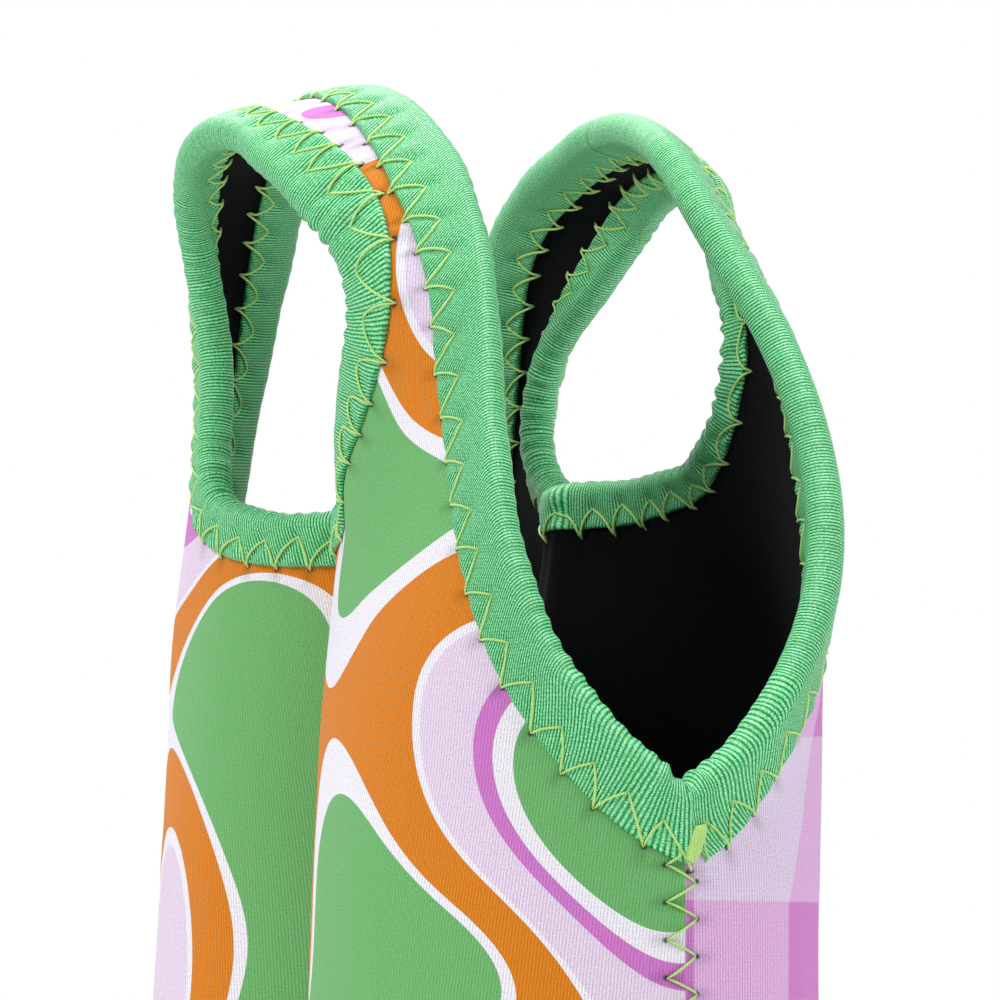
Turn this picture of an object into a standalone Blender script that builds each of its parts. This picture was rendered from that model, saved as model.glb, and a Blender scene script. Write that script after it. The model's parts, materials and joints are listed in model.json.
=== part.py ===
"""A tote for two wine bottles, sewn from neoprene.

Two shaped panels make two round bottle pockets side by side along X. Each panel carries a hand hole, and
the band above the hole is the handle. Every raw edge is bound with stretch tape, the two panels meet edge
to edge at both ends, and a flat panel closes the bottom. Metres, +Z up, the front panel faces -Y.
"""

import math

import bpy
import numpy as np
from mathutils import Vector
from mathutils.bvhtree import BVHTree

# Cloth and thread
NEOPRENE = 0.0030
TAPE = 0.0008
MOUTH_TAPE = 0.0082
HOLE_TAPE = 0.0065
THREAD = 0.0006
GAP = 0.0003
TAPE_GAP = 0.0006

# Bottle pockets
POCKET_RADIUS = 0.0410
POCKET_SPACING = 0.0860
SEAM_SHIFT = 0.0040
DIVIDER_LAND = 0.0036
DIVIDER_BOTTOM = 0.0450
DIVIDER_TOP = 0.2120
BASE_WAIST = 0.0280
STRAIGHT_TOP = 0.1750
LEAN_START = 0.1750

# Mouth and handles, as edges of the neoprene
SEAM_TOP = 0.2350
FRONT_TOP = 0.3533
BACK_TOP = 0.3506
FRONT_HOLE_BOTTOM = 0.2825
BACK_HOLE_BOTTOM = 0.2890
VALLEY_AT_HOLE_SHARE = 0.45
FRONT_ROUND_SHARE = 0.50
BACK_ROUND_SHARE = 1.42

# Stitches
MOUTH_STITCH = 0.0075
HOLE_STITCH = 0.0062
SEAM_STITCH = 0.0056
BASE_STITCH = 0.0068
SEAM_WIDTH = 0.0045
DIVIDER_WIDTH = 0.0020
STITCH_WIDTH = 0.0054
PANEL_BITE = 0.0011
BARTACK_LENGTH = 0.0032
BARTACK_WIDTH = 0.0022
BARTACK = 0.0012

# Places along the mouth edge from the near seam to the middle: shares of half the length, of the pocket's
# radius, and of the height from the top of the seam to the top of the handle.
FRONT_MOUTH_SHARES = (
    (0.985, -0.12, 0.07),
    (0.935, -0.32, 0.155),
    (0.89, -0.46, 0.27),
    (0.84, -0.52, 0.39),
    (0.765, -0.51, 0.55),
    (0.665, -0.46, 0.72),
    (0.485, -0.445, 0.87),
    (0.24, -0.48, 0.97),
    (0.0, -0.49, 1.0),
)
BACK_MOUTH_SHARES = (
    (0.985, 0.27, 0.04),
    (0.97, 0.54, 0.15),
    (0.93, 0.74, 0.30),
    (0.86, 0.79, 0.475),
    (0.765, 0.71, 0.65),
    (0.62, 0.59, 0.805),
    (0.47, 0.555, 0.92),
    (0.24, 0.60, 0.98),
    (0.0, 0.635, 1.0),
)

# Places round the hand hole from its near corner over its top to its far corner: shares of half the length,
# of the pocket's radius, and of the height from the hole's bottom to the top of the handle.
FRONT_HOLE_SHARES = (
    (0.355, -0.83, 0.015),
    (0.415, -0.825, 0.10),
    (0.44, -0.805, 0.28),
    (0.46, -0.78, 0.45),
    (0.44, -0.83, 0.60),
    (0.36, -0.93, 0.71),
    (0.25, -1.01, 0.81),
    (0.13, -1.04, 0.885),
    (0.0, -1.045, 0.918),
    (-0.13, -1.04, 0.91),
    (-0.25, -1.01, 0.865),
    (-0.36, -0.93, 0.775),
    (-0.44, -0.84, 0.64),
    (-0.46, -0.78, 0.47),
    (-0.45, -0.79, 0.30),
    (-0.43, -0.81, 0.20),
    (-0.385, -0.83, 0.105),
)
BACK_HOLE_SHARES = (
    (0.33, 0.71, 0.03),
    (0.43, 0.705, 0.085),
    (0.51, 0.71, 0.17),
    (0.55, 0.73, 0.29),
    (0.525, 0.755, 0.44),
    (0.45, 0.79, 0.545),
    (0.33, 0.87, 0.67),
    (0.19, 0.96, 0.82),
    (0.0, 0.985, 0.87),
    (-0.19, 0.96, 0.82),
    (-0.33, 0.87, 0.67),
    (-0.45, 0.79, 0.545),
    (-0.525, 0.755, 0.44),
    (-0.55, 0.73, 0.29),
    (-0.51, 0.71, 0.17),
    (-0.43, 0.705, 0.085),
    (-0.33, 0.71, 0.03),
)

# How finely the cloth is divided
BAND_CROWN_SHARE = 0.05
DIP_SHARE = 0.9
TAPE_SHARES = (0.33, 0.67, 1.0)
TAPE_STEP = 0.0055
STRAIGHT_SHARES = (0.0, 0.07, 0.15, 0.24, 0.6, 1.0)
FLARE_ROWS = 7
BAND_ROWS = 18
BAND_COLUMNS = 6
FRONT_COLUMNS = 5
HOLD_SHARE = 0.01
MIXING_PASSES = 4

# Colours, linear
GREEN = (0.08, 0.42, 0.14)
PRINT_GREEN = (0.10, 0.33, 0.10)
PINK = (0.62, 0.22, 0.52)
BLACK = (0.012, 0.012, 0.012)
LIME = (0.36, 0.72, 0.12)

HALF_NEOPRENE = NEOPRENE / 2
MID_RADIUS = POCKET_RADIUS - HALF_NEOPRENE
AXIS = POCKET_SPACING / 2
HALF_LENGTH = AXIS + MID_RADIUS
HALF_LAND = DIVIDER_LAND / 2
DIVIDER_Y = HALF_NEOPRENE + GAP / 2
FLOOR = NEOPRENE + GAP
TAPE_SEAT = HALF_NEOPRENE + TAPE_GAP
THREAD_RADIUS = THREAD / 2
ON_TAPE = TAPE_SEAT + TAPE + TAPE_GAP + THREAD_RADIUS
ON_PANEL = HALF_NEOPRENE + GAP + THREAD_RADIUS
SEAM_ANGLE = SEAM_SHIFT / MID_RADIUS


def ease(t):
    """0 to 1 with level ends."""
    t = min(max(t, 0.0), 1.0)
    return t * t * (3 - 2 * t)


def unit(v):
    v = np.asarray(v, float)
    return v / np.linalg.norm(v)


def evenly(line, count):
    """The line again with count points at even steps."""
    line = np.asarray(line, float)
    run = np.concatenate([[0], np.cumsum(np.linalg.norm(np.diff(line, axis=0), axis=1))])
    at = np.linspace(0, run[-1], count)
    return np.stack([np.interp(at, run, line[:, k]) for k in range(3)], axis=1)


def divided(line):
    """The line with points added between its own, so that none stand further apart than the tape's step."""
    points = [line[0]]
    for a, b in zip(line, line[1:]):
        count = math.ceil(np.linalg.norm(b - a) / TAPE_STEP)
        points += [a + (b - a) * (i + 1) / count for i in range(count)]
    return np.array(points)


def length_of(line):
    return float(np.linalg.norm(np.diff(np.asarray(line), axis=0), axis=1).sum())


def mirrored(near_half):
    """A list of places from the near end to the middle, carried on to the far end."""
    return list(near_half) + [(-x, y, z) for x, y, z in reversed(near_half[:-1])]


def curve_through(places, count):
    """count points at even steps along a smooth curve through the places."""
    p = np.array(places, float)
    p = np.concatenate([[2 * p[0] - p[1]], p, [2 * p[-1] - p[-2]]])
    fine = []
    for i in range(1, len(p) - 2):
        a, b, c, d = p[i - 1 : i + 3]
        for t in np.linspace(0, 1, 24, endpoint=False):
            fine.append(
                b
                + (c - a) * t / 2
                + (2 * a - 5 * b + 4 * c - d) * t**2 / 2
                + (3 * b - a - 3 * c + d) * t**3 / 2
            )
    fine.append(p[-2])
    return evenly(fine, count)


class Section:
    """The pockets' section, seen from above, from the end seam round the near pocket to the divider. A fillet
    leads off the pocket's circle to the flat land where the two panels are sewn together."""

    def __init__(self, side):
        reach = AXIS - HALF_LAND
        self.fillet = (reach**2 + DIVIDER_Y**2 - MID_RADIUS**2) / (2 * (MID_RADIUS - DIVIDER_Y))
        self.fillet_y = DIVIDER_Y + self.fillet
        self.first = math.asin(GAP / 2 / MID_RADIUS) + side * SEAM_ANGLE
        self.fillet_angle = math.atan2(reach, self.fillet_y)
        last = math.pi / 2 + self.fillet_angle
        self.round_run = MID_RADIUS * (last - self.first)
        self.fillet_run = self.fillet * self.fillet_angle
        self.run = self.round_run + self.fillet_run + HALF_LAND

    def at(self, run):
        """The point of the middle surface that far along the section."""
        if run <= self.round_run:
            a = self.first + run / MID_RADIUS
            return np.array([AXIS + MID_RADIUS * math.cos(a), -MID_RADIUS * math.sin(a)])
        if run <= self.round_run + self.fillet_run:
            a = (run - self.round_run) / self.fillet + math.pi / 2 - self.fillet_angle
            return np.array([HALF_LAND + self.fillet * math.cos(a), -self.fillet_y + self.fillet * math.sin(a)])
        return np.array([self.run - run, -DIVIDER_Y])

    def front_runs(self, first):
        """Where the columns between a hand hole's corner and the divider stand."""
        bend = self.round_run + self.fillet_run
        runs = list(np.linspace(first, self.round_run, FRONT_COLUMNS + 1))
        return runs + [self.round_run + self.fillet_run / 2, bend, self.run]


def valley_weight(z, hole_bottom):
    """1 where the divider draws the panels together, less at the hand hole and at the base."""
    low = ease((z - FLOOR) / (DIVIDER_BOTTOM - FLOOR))
    high = VALLEY_AT_HOLE_SHARE + (1 - VALLEY_AT_HOLE_SHARE) * ease((hole_bottom - z) / (hole_bottom - DIVIDER_TOP))
    at_base = 1 - BASE_WAIST / MID_RADIUS
    return min(at_base + (1 - at_base) * low, high)


def body_rows():
    """For each row of the body, its share of the straight part and of the flare above it."""
    rows = [(share, 0.0) for share in STRAIGHT_SHARES]
    return rows + [(1.0, (i + 1) / FLARE_ROWS) for i in range(FLARE_ROWS)]


def sagging(a, dip):
    """How far a row has climbed at share a of its way, when it starts out flatter than it ends."""
    return a * (1 - dip * (1 - a))


def half_body(section, corner, hole_bottom, round_share):
    """The body's near half in front: the rows from the end seam to the corner's column, and on to X = 0."""
    corner_run = MID_RADIUS * (math.acos((corner[0] - AXIS) / MID_RADIUS) - section.first)
    start, end, last = section.at(0), section.at(corner_run), section.at(section.run)
    outer, inner = [], []
    for straight, flare in body_rows():
        base_z = FLOOR + straight * (STRAIGHT_TOP - FLOOR)
        row = []
        bend = ease(flare)
        for a in np.linspace(0, 1, BAND_COLUMNS + 1):
            z = base_z + flare * (SEAM_TOP - STRAIGHT_TOP + sagging(a, DIP_SHARE) * (corner[2] - SEAM_TOP))
            bulge = section.at(a * corner_run) - (1 - a) * start - a * end
            leaning = (z - LEAN_START) / (hole_bottom - LEAN_START)
            roundness = 1 - (1 - round_share) * min(max(leaning, 0), 1)
            flat = (1 - a) * start + a * ((1 - bend) * end + bend * corner[:2]) + roundness * bulge
            row.append(np.array([flat[0], flat[1], z]))
        outer.append(row)
        row = []
        first = outer[-1][-1]
        for run in section.front_runs(corner_run):
            b = (run - corner_run) / (section.run - corner_run)
            lift = (corner[2] - hole_bottom) * (1 - b) ** 3
            z = base_z + flare * (hole_bottom + lift - STRAIGHT_TOP)
            w = valley_weight(z, hole_bottom)
            bulge = section.at(run) - (1 - b) * end - b * last
            middle = (1 - w) * np.array([0, first[1]]) + w * last
            flat = (1 - b) * first[:2] + b * middle + w * bulge
            row.append(np.array([flat[0], flat[1], z]))
        inner.append(row)
    return outer, inner


def panel_grids(side, mouth_shares, hole_shares, top, hole_bottom, round_share):
    """The middle surface of one panel as two grids: one that runs up a leg, over the handle and down the
    other leg, and one below the hand hole. The body is made facing -Y and turned for the back."""
    turn = np.array([1, -side, 1])
    section = Section(side)
    start = section.at(0) * turn[:2]
    seam = (start[0], start[1], SEAM_TOP)
    mouth = [seam] + [
        (x * HALF_LENGTH, y * POCKET_RADIUS, SEAM_TOP + z * (top - SEAM_TOP)) for x, y, z in mouth_shares
    ]
    hole = [
        (x * HALF_LENGTH, y * POCKET_RADIUS, hole_bottom + z * (top - hole_bottom)) for x, y, z in hole_shares
    ]
    count = 2 * BAND_ROWS + 1
    mouth_line, hole_line = curve_through(mirrored(mouth), count), curve_through(hole, count)
    flip = np.array([-1, 1, 1])
    near_outer, near_inner = half_body(section, hole_line[0] * turn, hole_bottom, round_share)
    far_outer, far_inner = half_body(section, hole_line[-1] * turn * flip, hole_bottom, round_share)

    band = []
    body_crown = np.linalg.norm(near_outer[-1][BAND_COLUMNS // 2] - (near_outer[-1][0] + near_outer[-1][-1]) / 2)
    for i in range(1, count - 1):
        m, h = mouth_line[i], hole_line[i]
        along = mouth_line[i + 1] + hole_line[i + 1] - mouth_line[i - 1] - hole_line[i - 1]
        out = unit(np.cross(along, h - m)) * -side
        leg = min(i, count - 1 - i) / BAND_ROWS
        fade = ease(3.6 * leg)
        crown = body_crown * (1 - fade) + BAND_CROWN_SHARE * np.linalg.norm(h - m) * fade
        row = []
        for a in np.linspace(0, 1, BAND_COLUMNS + 1):
            along = np.array([a, a, sagging(a, DIP_SHARE * (1 - fade))])
            row.append(m + (h - m) * along + out * crown * 4 * a * (1 - a))
        band.append(row)

    near = [[p * turn for p in row] for row in near_outer]
    far = [[p * turn * flip for p in row] for row in reversed(far_outer)]
    front = [
        [p * turn for p in a] + [p * turn * flip for p in reversed(b[:-1])]
        for a, b in zip(near_inner, far_inner)
    ]
    return np.array(near + band + far), np.array(front)


class Panel:
    """A panel's middle surface, with its edges and a way to find places on it."""

    def __init__(self, side, mouth_shares, hole_shares, top, hole_bottom, round_share):
        self.side = side
        long_grid, front_grid = panel_grids(side, mouth_shares, hole_shares, top, hole_bottom, round_share)
        body = len(front_grid)
        rows, columns = long_grid.shape[:2]
        across = front_grid.shape[1]
        points = [p for row in long_grid for p in row]
        number = np.arange(rows * columns).reshape(rows, columns)
        below = np.zeros((body, across), int)
        for r in range(body):
            below[r, 0] = number[r, -1]
            below[r, -1] = number[rows - 1 - r, -1]
            for c in range(1, across - 1):
                below[r, c] = len(points)
                points.append(front_grid[r, c])
        faces = []
        for grid in (number, below):
            for r in range(grid.shape[0] - 1):
                for c in range(grid.shape[1] - 1):
                    faces.append((grid[r, c], grid[r + 1, c], grid[r + 1, c + 1], grid[r, c + 1]))
        # Both grids run the same way round: up the rows, and from the end seam towards the middle.
        if side > 0:
            faces = [tuple(reversed(face)) for face in faces]
        self.points, self.faces = np.array(points), faces
        self.fixed = set(number[:, 0]) | set(number[body - 1 : rows - body + 1, -1]) | set(below[-1])
        self.fixed |= {i for i, p in enumerate(self.points) if p[2] < STRAIGHT_TOP + GAP}
        self.fixed |= set(below[:, across // 2 - 2 : across // 2 + 3].ravel())
        self.rim = set(number[:, 0]) | set(number[body - 1 : rows - body + 1, -1]) | set(below[-1])
        self.rim |= set(number[0]) | set(number[-1]) | set(below[0])
        self.settle()
        self.normals = self.vertex_normals()
        for r in range(body):
            for i, x in ((number[r, 0], 1), (number[rows - 1 - r, 0], -1)):
                self.normals[i] = (x * math.cos(SEAM_ANGLE), math.sin(SEAM_ANGLE), 0)
        for i in list(number[0]) + list(number[-1]) + list(below[0]):
            self.normals[i] = unit(self.normals[i] * (1, 1, 0))
        self.mouth = self.points[number[body - 1 : rows - body + 1, 0]]
        upper = self.points[number[body - 1 : rows - body + 1, -1]]
        lower = self.points[below[-1][::-1]]
        self.hole = np.concatenate([upper, lower[1:]])
        self.foot = list(number[0]) + list(below[0][1:-1]) + list(number[-1][::-1])
        self.triangles = [t for face in faces for t in self.halves(face)]
        self.tree = BVHTree.FromPolygons([Vector(p) for p in self.points], self.triangles)

    def halves(self, face):
        """The two triangles of a face, split along its shorter diagonal."""
        a, b, c, d = face
        p = self.points
        if np.linalg.norm(p[a] - p[c]) < np.linalg.norm(p[b] - p[d]):
            return (a, b, c), (a, c, d)
        return (a, b, d), (b, c, d)

    def neighbours(self):
        near = [set() for _ in self.points]
        for face in self.faces:
            for a, b in zip(face, face[1:] + face[:1]):
                near[a].add(b)
                near[b].add(a)
        return near

    def settle(self):
        """Evens out how the cloth bends between its edges, and lets it settle near its drawn shape."""
        count = len(self.points)
        bending = np.zeros((count, count))
        mixing = np.zeros((count, count))
        near = self.neighbours()
        for i in sorted(set(range(count)) - self.rim):
            around = sorted(near[i])
            pull = 1 / np.linalg.norm(self.points[around] - self.points[i], axis=1)
            bending[i, i] = 1
            bending[i, around] = -pull / pull.sum()
            inside = [i] + [j for j in around if j not in self.rim]
            mixing[i, inside] = 1 / len(inside)
        bend = bending @ self.points
        for _ in range(MIXING_PASSES):
            bend = mixing @ bend
        stiff = bending.T @ bending
        aim = bending.T @ bend
        held = sorted(self.fixed)
        free = sorted(set(range(count)) - self.fixed)
        left = stiff[np.ix_(free, free)] + HOLD_SHARE * np.eye(len(free))
        right = aim[free] + HOLD_SHARE * self.points[free] - stiff[np.ix_(free, held)] @ self.points[held]
        self.points[free] = np.linalg.solve(left, right)

    def vertex_normals(self):
        normals = np.zeros_like(self.points)
        for face in self.faces:
            a, b, c, d = self.points[list(face)]
            n = np.cross(c - a, d - b)
            for i in face:
                normals[i] += n
        return normals / np.linalg.norm(normals, axis=1)[:, None]

    def at(self, place):
        """The nearest point of the middle surface and the smooth outward direction there."""
        found, _, index, _ = self.tree.find_nearest(Vector(place))
        p = np.array(found)
        a, b, c = self.triangles[index]
        edges = np.array([self.points[b] - self.points[a], self.points[c] - self.points[a]])
        u, v = np.linalg.lstsq(edges.T, p - self.points[a], rcond=None)[0]
        n = (1 - u - v) * self.normals[a] + u * self.normals[b] + v * self.normals[c]
        return p, unit(n)

    def walk(self, start, heading, distances):
        """Places on the cloth at those distances from start, going straight on in its surface."""
        p, n = self.at(start)
        places, gone = [], 0.0
        for distance in distances:
            steps = max(1, math.ceil((distance - gone) / HALF_NEOPRENE))
            for _ in range(steps):
                q, n = self.at(p + unit(heading) * (distance - gone) / steps)
                if np.linalg.norm(q - p) > 0.2 * (distance - gone) / steps:
                    heading = q - p
                p = q
            gone = distance
            places.append((p, n))
        return places

    def solid(self):
        """Vertices and faces of the neoprene at its thickness."""
        count = len(self.points)
        outer = self.points + self.normals * HALF_NEOPRENE
        inner = self.points - self.normals * HALF_NEOPRENE
        faces = self.triangles + [tuple(i + count for i in reversed(t)) for t in self.triangles]
        used = {}
        for face in self.faces:
            for a, b in zip(face, face[1:] + face[:1]):
                used[(a, b)] = True
        for a, b in list(used):
            if (b, a) not in used:
                faces.append((b, a, a + count, b + count))
        return np.concatenate([outer, inner]), faces


def material(name, colour, roughness):
    made = bpy.data.materials.new(name)
    made.use_nodes = True
    shader = made.node_tree.nodes["Principled BSDF"]
    shader.inputs["Base Color"].default_value = (*colour, 1)
    shader.inputs["Roughness"].default_value = roughness
    shader.inputs["Metallic"].default_value = 0
    made.diffuse_color = (*colour, 1)
    return made


def add(name, points, faces, colour, roughness=0.8):
    mesh = bpy.data.meshes.new(name)
    mesh.from_pydata([tuple(float(x) for x in p) for p in points], [], [tuple(int(i) for i in f) for f in faces])
    mesh.validate()
    mesh.shade_smooth()
    mesh.set_sharp_from_angle(angle=math.radians(40))
    mesh.materials.append(material(name, colour, roughness))
    obj = bpy.data.objects.new(name, mesh)
    bpy.context.scene.collection.objects.link(obj)
    return obj


def swept(rings, closed):
    """Faces that join rings of points one after another. Open ends get a cap."""
    sides = len(rings[0])
    count = len(rings)
    faces = []
    for r in range(count if closed else count - 1):
        here, there = r * sides, (r + 1) % count * sides
        for s in range(sides):
            t = (s + 1) % sides
            faces.append((here + s, here + t, there + t, there + s))
    if not closed:
        faces.append(tuple(range(sides))[::-1])
        faces.append(tuple((count - 1) * sides + s for s in range(sides)))
    return np.concatenate(rings), faces


def facing_out(points, faces):
    """The faces turned so that the solid has its volume inside."""
    volume = 0.0
    for face in faces:
        a = points[face[0]]
        for b, c in zip(face[1:], face[2:]):
            volume += np.dot(a, np.cross(points[b], points[c]))
    return faces if volume > 0 else [tuple(reversed(f)) for f in faces]


def edge_frames(panel, line, closed):
    """For each point of an edge, the direction from it into the cloth. At an open end it turns downward."""
    frames = []
    run = np.concatenate([[0], np.cumsum(np.linalg.norm(np.diff(line, axis=0), axis=1))])
    last = len(line) - 1
    for i, p in enumerate(line):
        before = line[i - 1] if i or closed else line[0]
        after = line[(i + 1) % len(line)] if i < last or closed else line[last]
        _, n = panel.at(p)
        inward = unit(np.cross(n, after - before))
        probe = NEOPRENE
        gaps = [np.linalg.norm(panel.at(p + s * inward * probe)[0] - p - s * inward * probe) for s in (1, -1)]
        inward = inward if gaps[0] < gaps[1] else -inward
        if not closed:
            straight = max(0, 1 - min(run[i], run[-1] - run[i]) / MOUTH_TAPE)
            inward = unit(inward * (1 - straight) + np.array([0, 0, -straight]))
        frames.append(inward)
    return frames


def tape_ring(panel, edge, inward, width):
    """The binding's section at one place of an edge: down the outer face, round the edge, up the lining."""
    walked = [panel.at(edge)] + panel.walk(edge, inward, [width * s for s in TAPE_SHARES])
    p0, n0 = walked[0]
    far = TAPE_SEAT + TAPE
    fold = []
    for angle in (90, 135, 180, 225, 270):
        a = math.radians(angle)
        fold.append(p0 + unit(inward) * far * math.cos(a) + n0 * far * math.sin(a))
    outside = [p + n * far for p, n in reversed(walked[1:])]
    lining = [p - n * far for p, n in walked[1:]]
    back_in = [p - n * TAPE_SEAT for p, n in reversed(walked[1:])]
    rim = p0 - unit(inward) * TAPE_GAP
    seat = [rim - n0 * TAPE_SEAT, rim + n0 * TAPE_SEAT]
    out_again = [p + n * TAPE_SEAT for p, n in walked[1:]]
    return np.array(outside + fold + lining + back_in + seat + out_again)


def binding(name, panel, line, closed, tape_width):
    inwards = edge_frames(panel, line, closed)
    rings = [tape_ring(panel, edge, inward, tape_width) for edge, inward in zip(line, inwards)]
    points, faces = swept(rings, closed)
    return add(name, points, facing_out(points, faces), GREEN, 0.45)


def thread(name, path, normals, closed=False):
    """A stitched thread of three sides along a path."""
    rings = []
    count = len(path)
    for i, (p, n) in enumerate(zip(path, normals)):
        before = path[i - 1] if i or closed else path[0]
        after = path[(i + 1) % count] if i < count - 1 or closed else path[-1]
        along = unit(after - before)
        side = unit(np.cross(along, n))
        low = p - n * THREAD_RADIUS / 2
        rings.append(np.array([p + n * THREAD_RADIUS, low + side * THREAD_RADIUS, low - side * THREAD_RADIUS]))
    points, faces = swept(rings, closed)
    return add(name, points, facing_out(points, faces), LIME, 0.6)


def edge_stitches(name, panel, line, closed, tape_width, pitch):
    """Zigzag through the binding's outer face, from the middle of the tape to the cloth beside it."""
    count = 2 * round(length_of(line) / pitch)
    loop = np.concatenate([line, line[:1]]) if closed else line
    stations = evenly(loop, count + 1)
    if closed:
        stations = stations[:-1]
    inwards = edge_frames(panel, stations, closed)
    places = []
    for i, (edge, inward) in enumerate(zip(stations, inwards)):
        if not closed and i in (0, len(stations) - 1):
            continue
        reach = tape_width + PANEL_BITE - (STITCH_WIDTH if i % 2 else 0)
        places.append(panel.walk(edge, inward, [reach])[0])
    path, normals = [], []
    for i, (p, n) in enumerate(places):
        path.append(p + n * ON_TAPE)
        normals.append(n)
        if closed or i < len(places) - 1:
            middle, n = panel.at((p + places[(i + 1) % len(places)][0]) / 2)
            path.append(middle + n * ON_TAPE)
            normals.append(n)
    return thread(name, path, normals, closed)


def zigzag(low, high, step):
    """Heights from low to high with an even number of steps, and which side each is on."""
    count = max(2, round((high - low) / (step / 2)))
    return [(low + (high - low) * i / count, 1 if i % 2 else -1) for i in range(count + 1)]


def end_seam(name, end):
    path, normals = [], []
    low = FLOOR + SEAM_WIDTH
    high = SEAM_TOP - 1.25 * MOUTH_TAPE - SEAM_WIDTH / 2
    for z, side in zigzag(low, high, SEAM_STITCH):
        a = SEAM_ANGLE + side * SEAM_WIDTH / 2 / POCKET_RADIUS
        n = np.array([end * math.cos(a), math.sin(a), 0])
        centre = np.array([end * AXIS, 0, z])
        path.append(centre + n * (MID_RADIUS + ON_PANEL))
        normals.append(n)
    return thread(name, path, normals)


def divider_seam(name, side):
    path, normals = [], []
    for z, swing in zigzag(DIVIDER_BOTTOM, DIVIDER_TOP, SEAM_STITCH):
        path.append(np.array([swing * DIVIDER_WIDTH / 2, side * (DIVIDER_Y + ON_PANEL), z]))
        normals.append(np.array([0, side, 0]))
    return thread(name, path, normals)


def outline(panels):
    """The tote's outer outline at its foot, going round once, with the outward directions."""
    ring, normals = [], []
    for panel in panels:
        order = panel.foot if panel.side < 0 else panel.foot[::-1]
        for i in order:
            p = panel.points[i] + panel.normals[i] * HALF_NEOPRENE
            ring.append(p)
            normals.append(panel.normals[i])
    return np.array(ring), np.array(normals)


def base(panels):
    ring, _ = outline(panels)
    low, high = ring * (1, 1, 0), ring * (1, 1, 0) + (0, 0, NEOPRENE)
    points, faces = swept([low, high], False)
    return add("base_panel", points, facing_out(points, faces), BLACK, 0.85)


def base_seam(panels):
    """Zigzag round the foot, from the base panel's edge to the pockets' walls."""
    ring, normals = outline(panels)
    ring = np.concatenate([ring, ring[:1]]) * (1, 1, 0)
    normals = np.concatenate([normals, normals[:1]])
    run = np.concatenate([[0], np.cumsum(np.linalg.norm(np.diff(ring, axis=0), axis=1))])
    count = 2 * round(run[-1] / BASE_STITCH)
    path, ways = [], []
    for i, at in enumerate(np.linspace(0, run[-1], count, endpoint=False)):
        p = np.array([np.interp(at, run, ring[:, k]) for k in range(3)])
        n = unit([np.interp(at, run, normals[:, k]) for k in range(3)])
        z = FLOOR + NEOPRENE / 2 if i % 2 else NEOPRENE / 2
        path.append(p + n * (GAP + THREAD_RADIUS) + (0, 0, z))
        ways.append(n)
    return thread("base_seam_thread", path, ways, True)


def bartack(name, end):
    """The dense tack that holds the two bindings' ends at the top of an end seam."""
    reach = MID_RADIUS + TAPE_SEAT + TAPE + GAP + BARTACK / 2
    x = AXIS + reach * math.cos(SEAM_ANGLE)
    z = SEAM_TOP - MOUTH_TAPE / 2
    bpy.ops.mesh.primitive_cube_add(size=1)
    obj = bpy.context.object
    obj.name = name
    obj.scale = (BARTACK, BARTACK_WIDTH, BARTACK_LENGTH)
    obj.location = (end * x, reach * math.sin(SEAM_ANGLE), z)
    obj.rotation_euler = (0, 0, end * SEAM_ANGLE)
    bpy.ops.object.transform_apply(location=False, rotation=False, scale=True)
    obj.data.materials.append(material(name, LIME, 0.6))
    return obj


def clear_scene():
    for obj in list(bpy.data.objects):
        bpy.data.objects.remove(obj)


def main():
    clear_scene()
    front = Panel(-1, FRONT_MOUTH_SHARES, FRONT_HOLE_SHARES, FRONT_TOP, FRONT_HOLE_BOTTOM, FRONT_ROUND_SHARE)
    back = Panel(1, BACK_MOUTH_SHARES, BACK_HOLE_SHARES, BACK_TOP, BACK_HOLE_BOTTOM, BACK_ROUND_SHARE)
    for panel, name, colour in ((front, "front", PRINT_GREEN), (back, "back", PINK)):
        add(name + "_panel", *panel.solid(), colour)
        loop = np.concatenate([panel.hole, panel.hole[:1]])
        binding(name + "_mouth_binding", panel, divided(panel.mouth), False, MOUTH_TAPE)
        binding(name + "_hand_hole_binding", panel, divided(loop)[:-1], True, HOLE_TAPE)
        edge_stitches(name + "_mouth_stitching", panel, panel.mouth, False, MOUTH_TAPE, MOUTH_STITCH)
        edge_stitches(name + "_hand_hole_stitching", panel, panel.hole, True, HOLE_TAPE, HOLE_STITCH)
        divider_seam(name + "_divider_thread", panel.side)
    base([front, back])
    base_seam([front, back])
    for name, end in (("near", 1), ("far", -1)):
        end_seam(name + "_end_seam_thread", end)
        bartack(name + "_bartack", end)


main()
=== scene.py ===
import json
import math
from collections import Counter

import bmesh
import bpy
import numpy as np
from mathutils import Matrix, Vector
from mathutils.bvhtree import BVHTree
from mathutils.kdtree import KDTree

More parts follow.
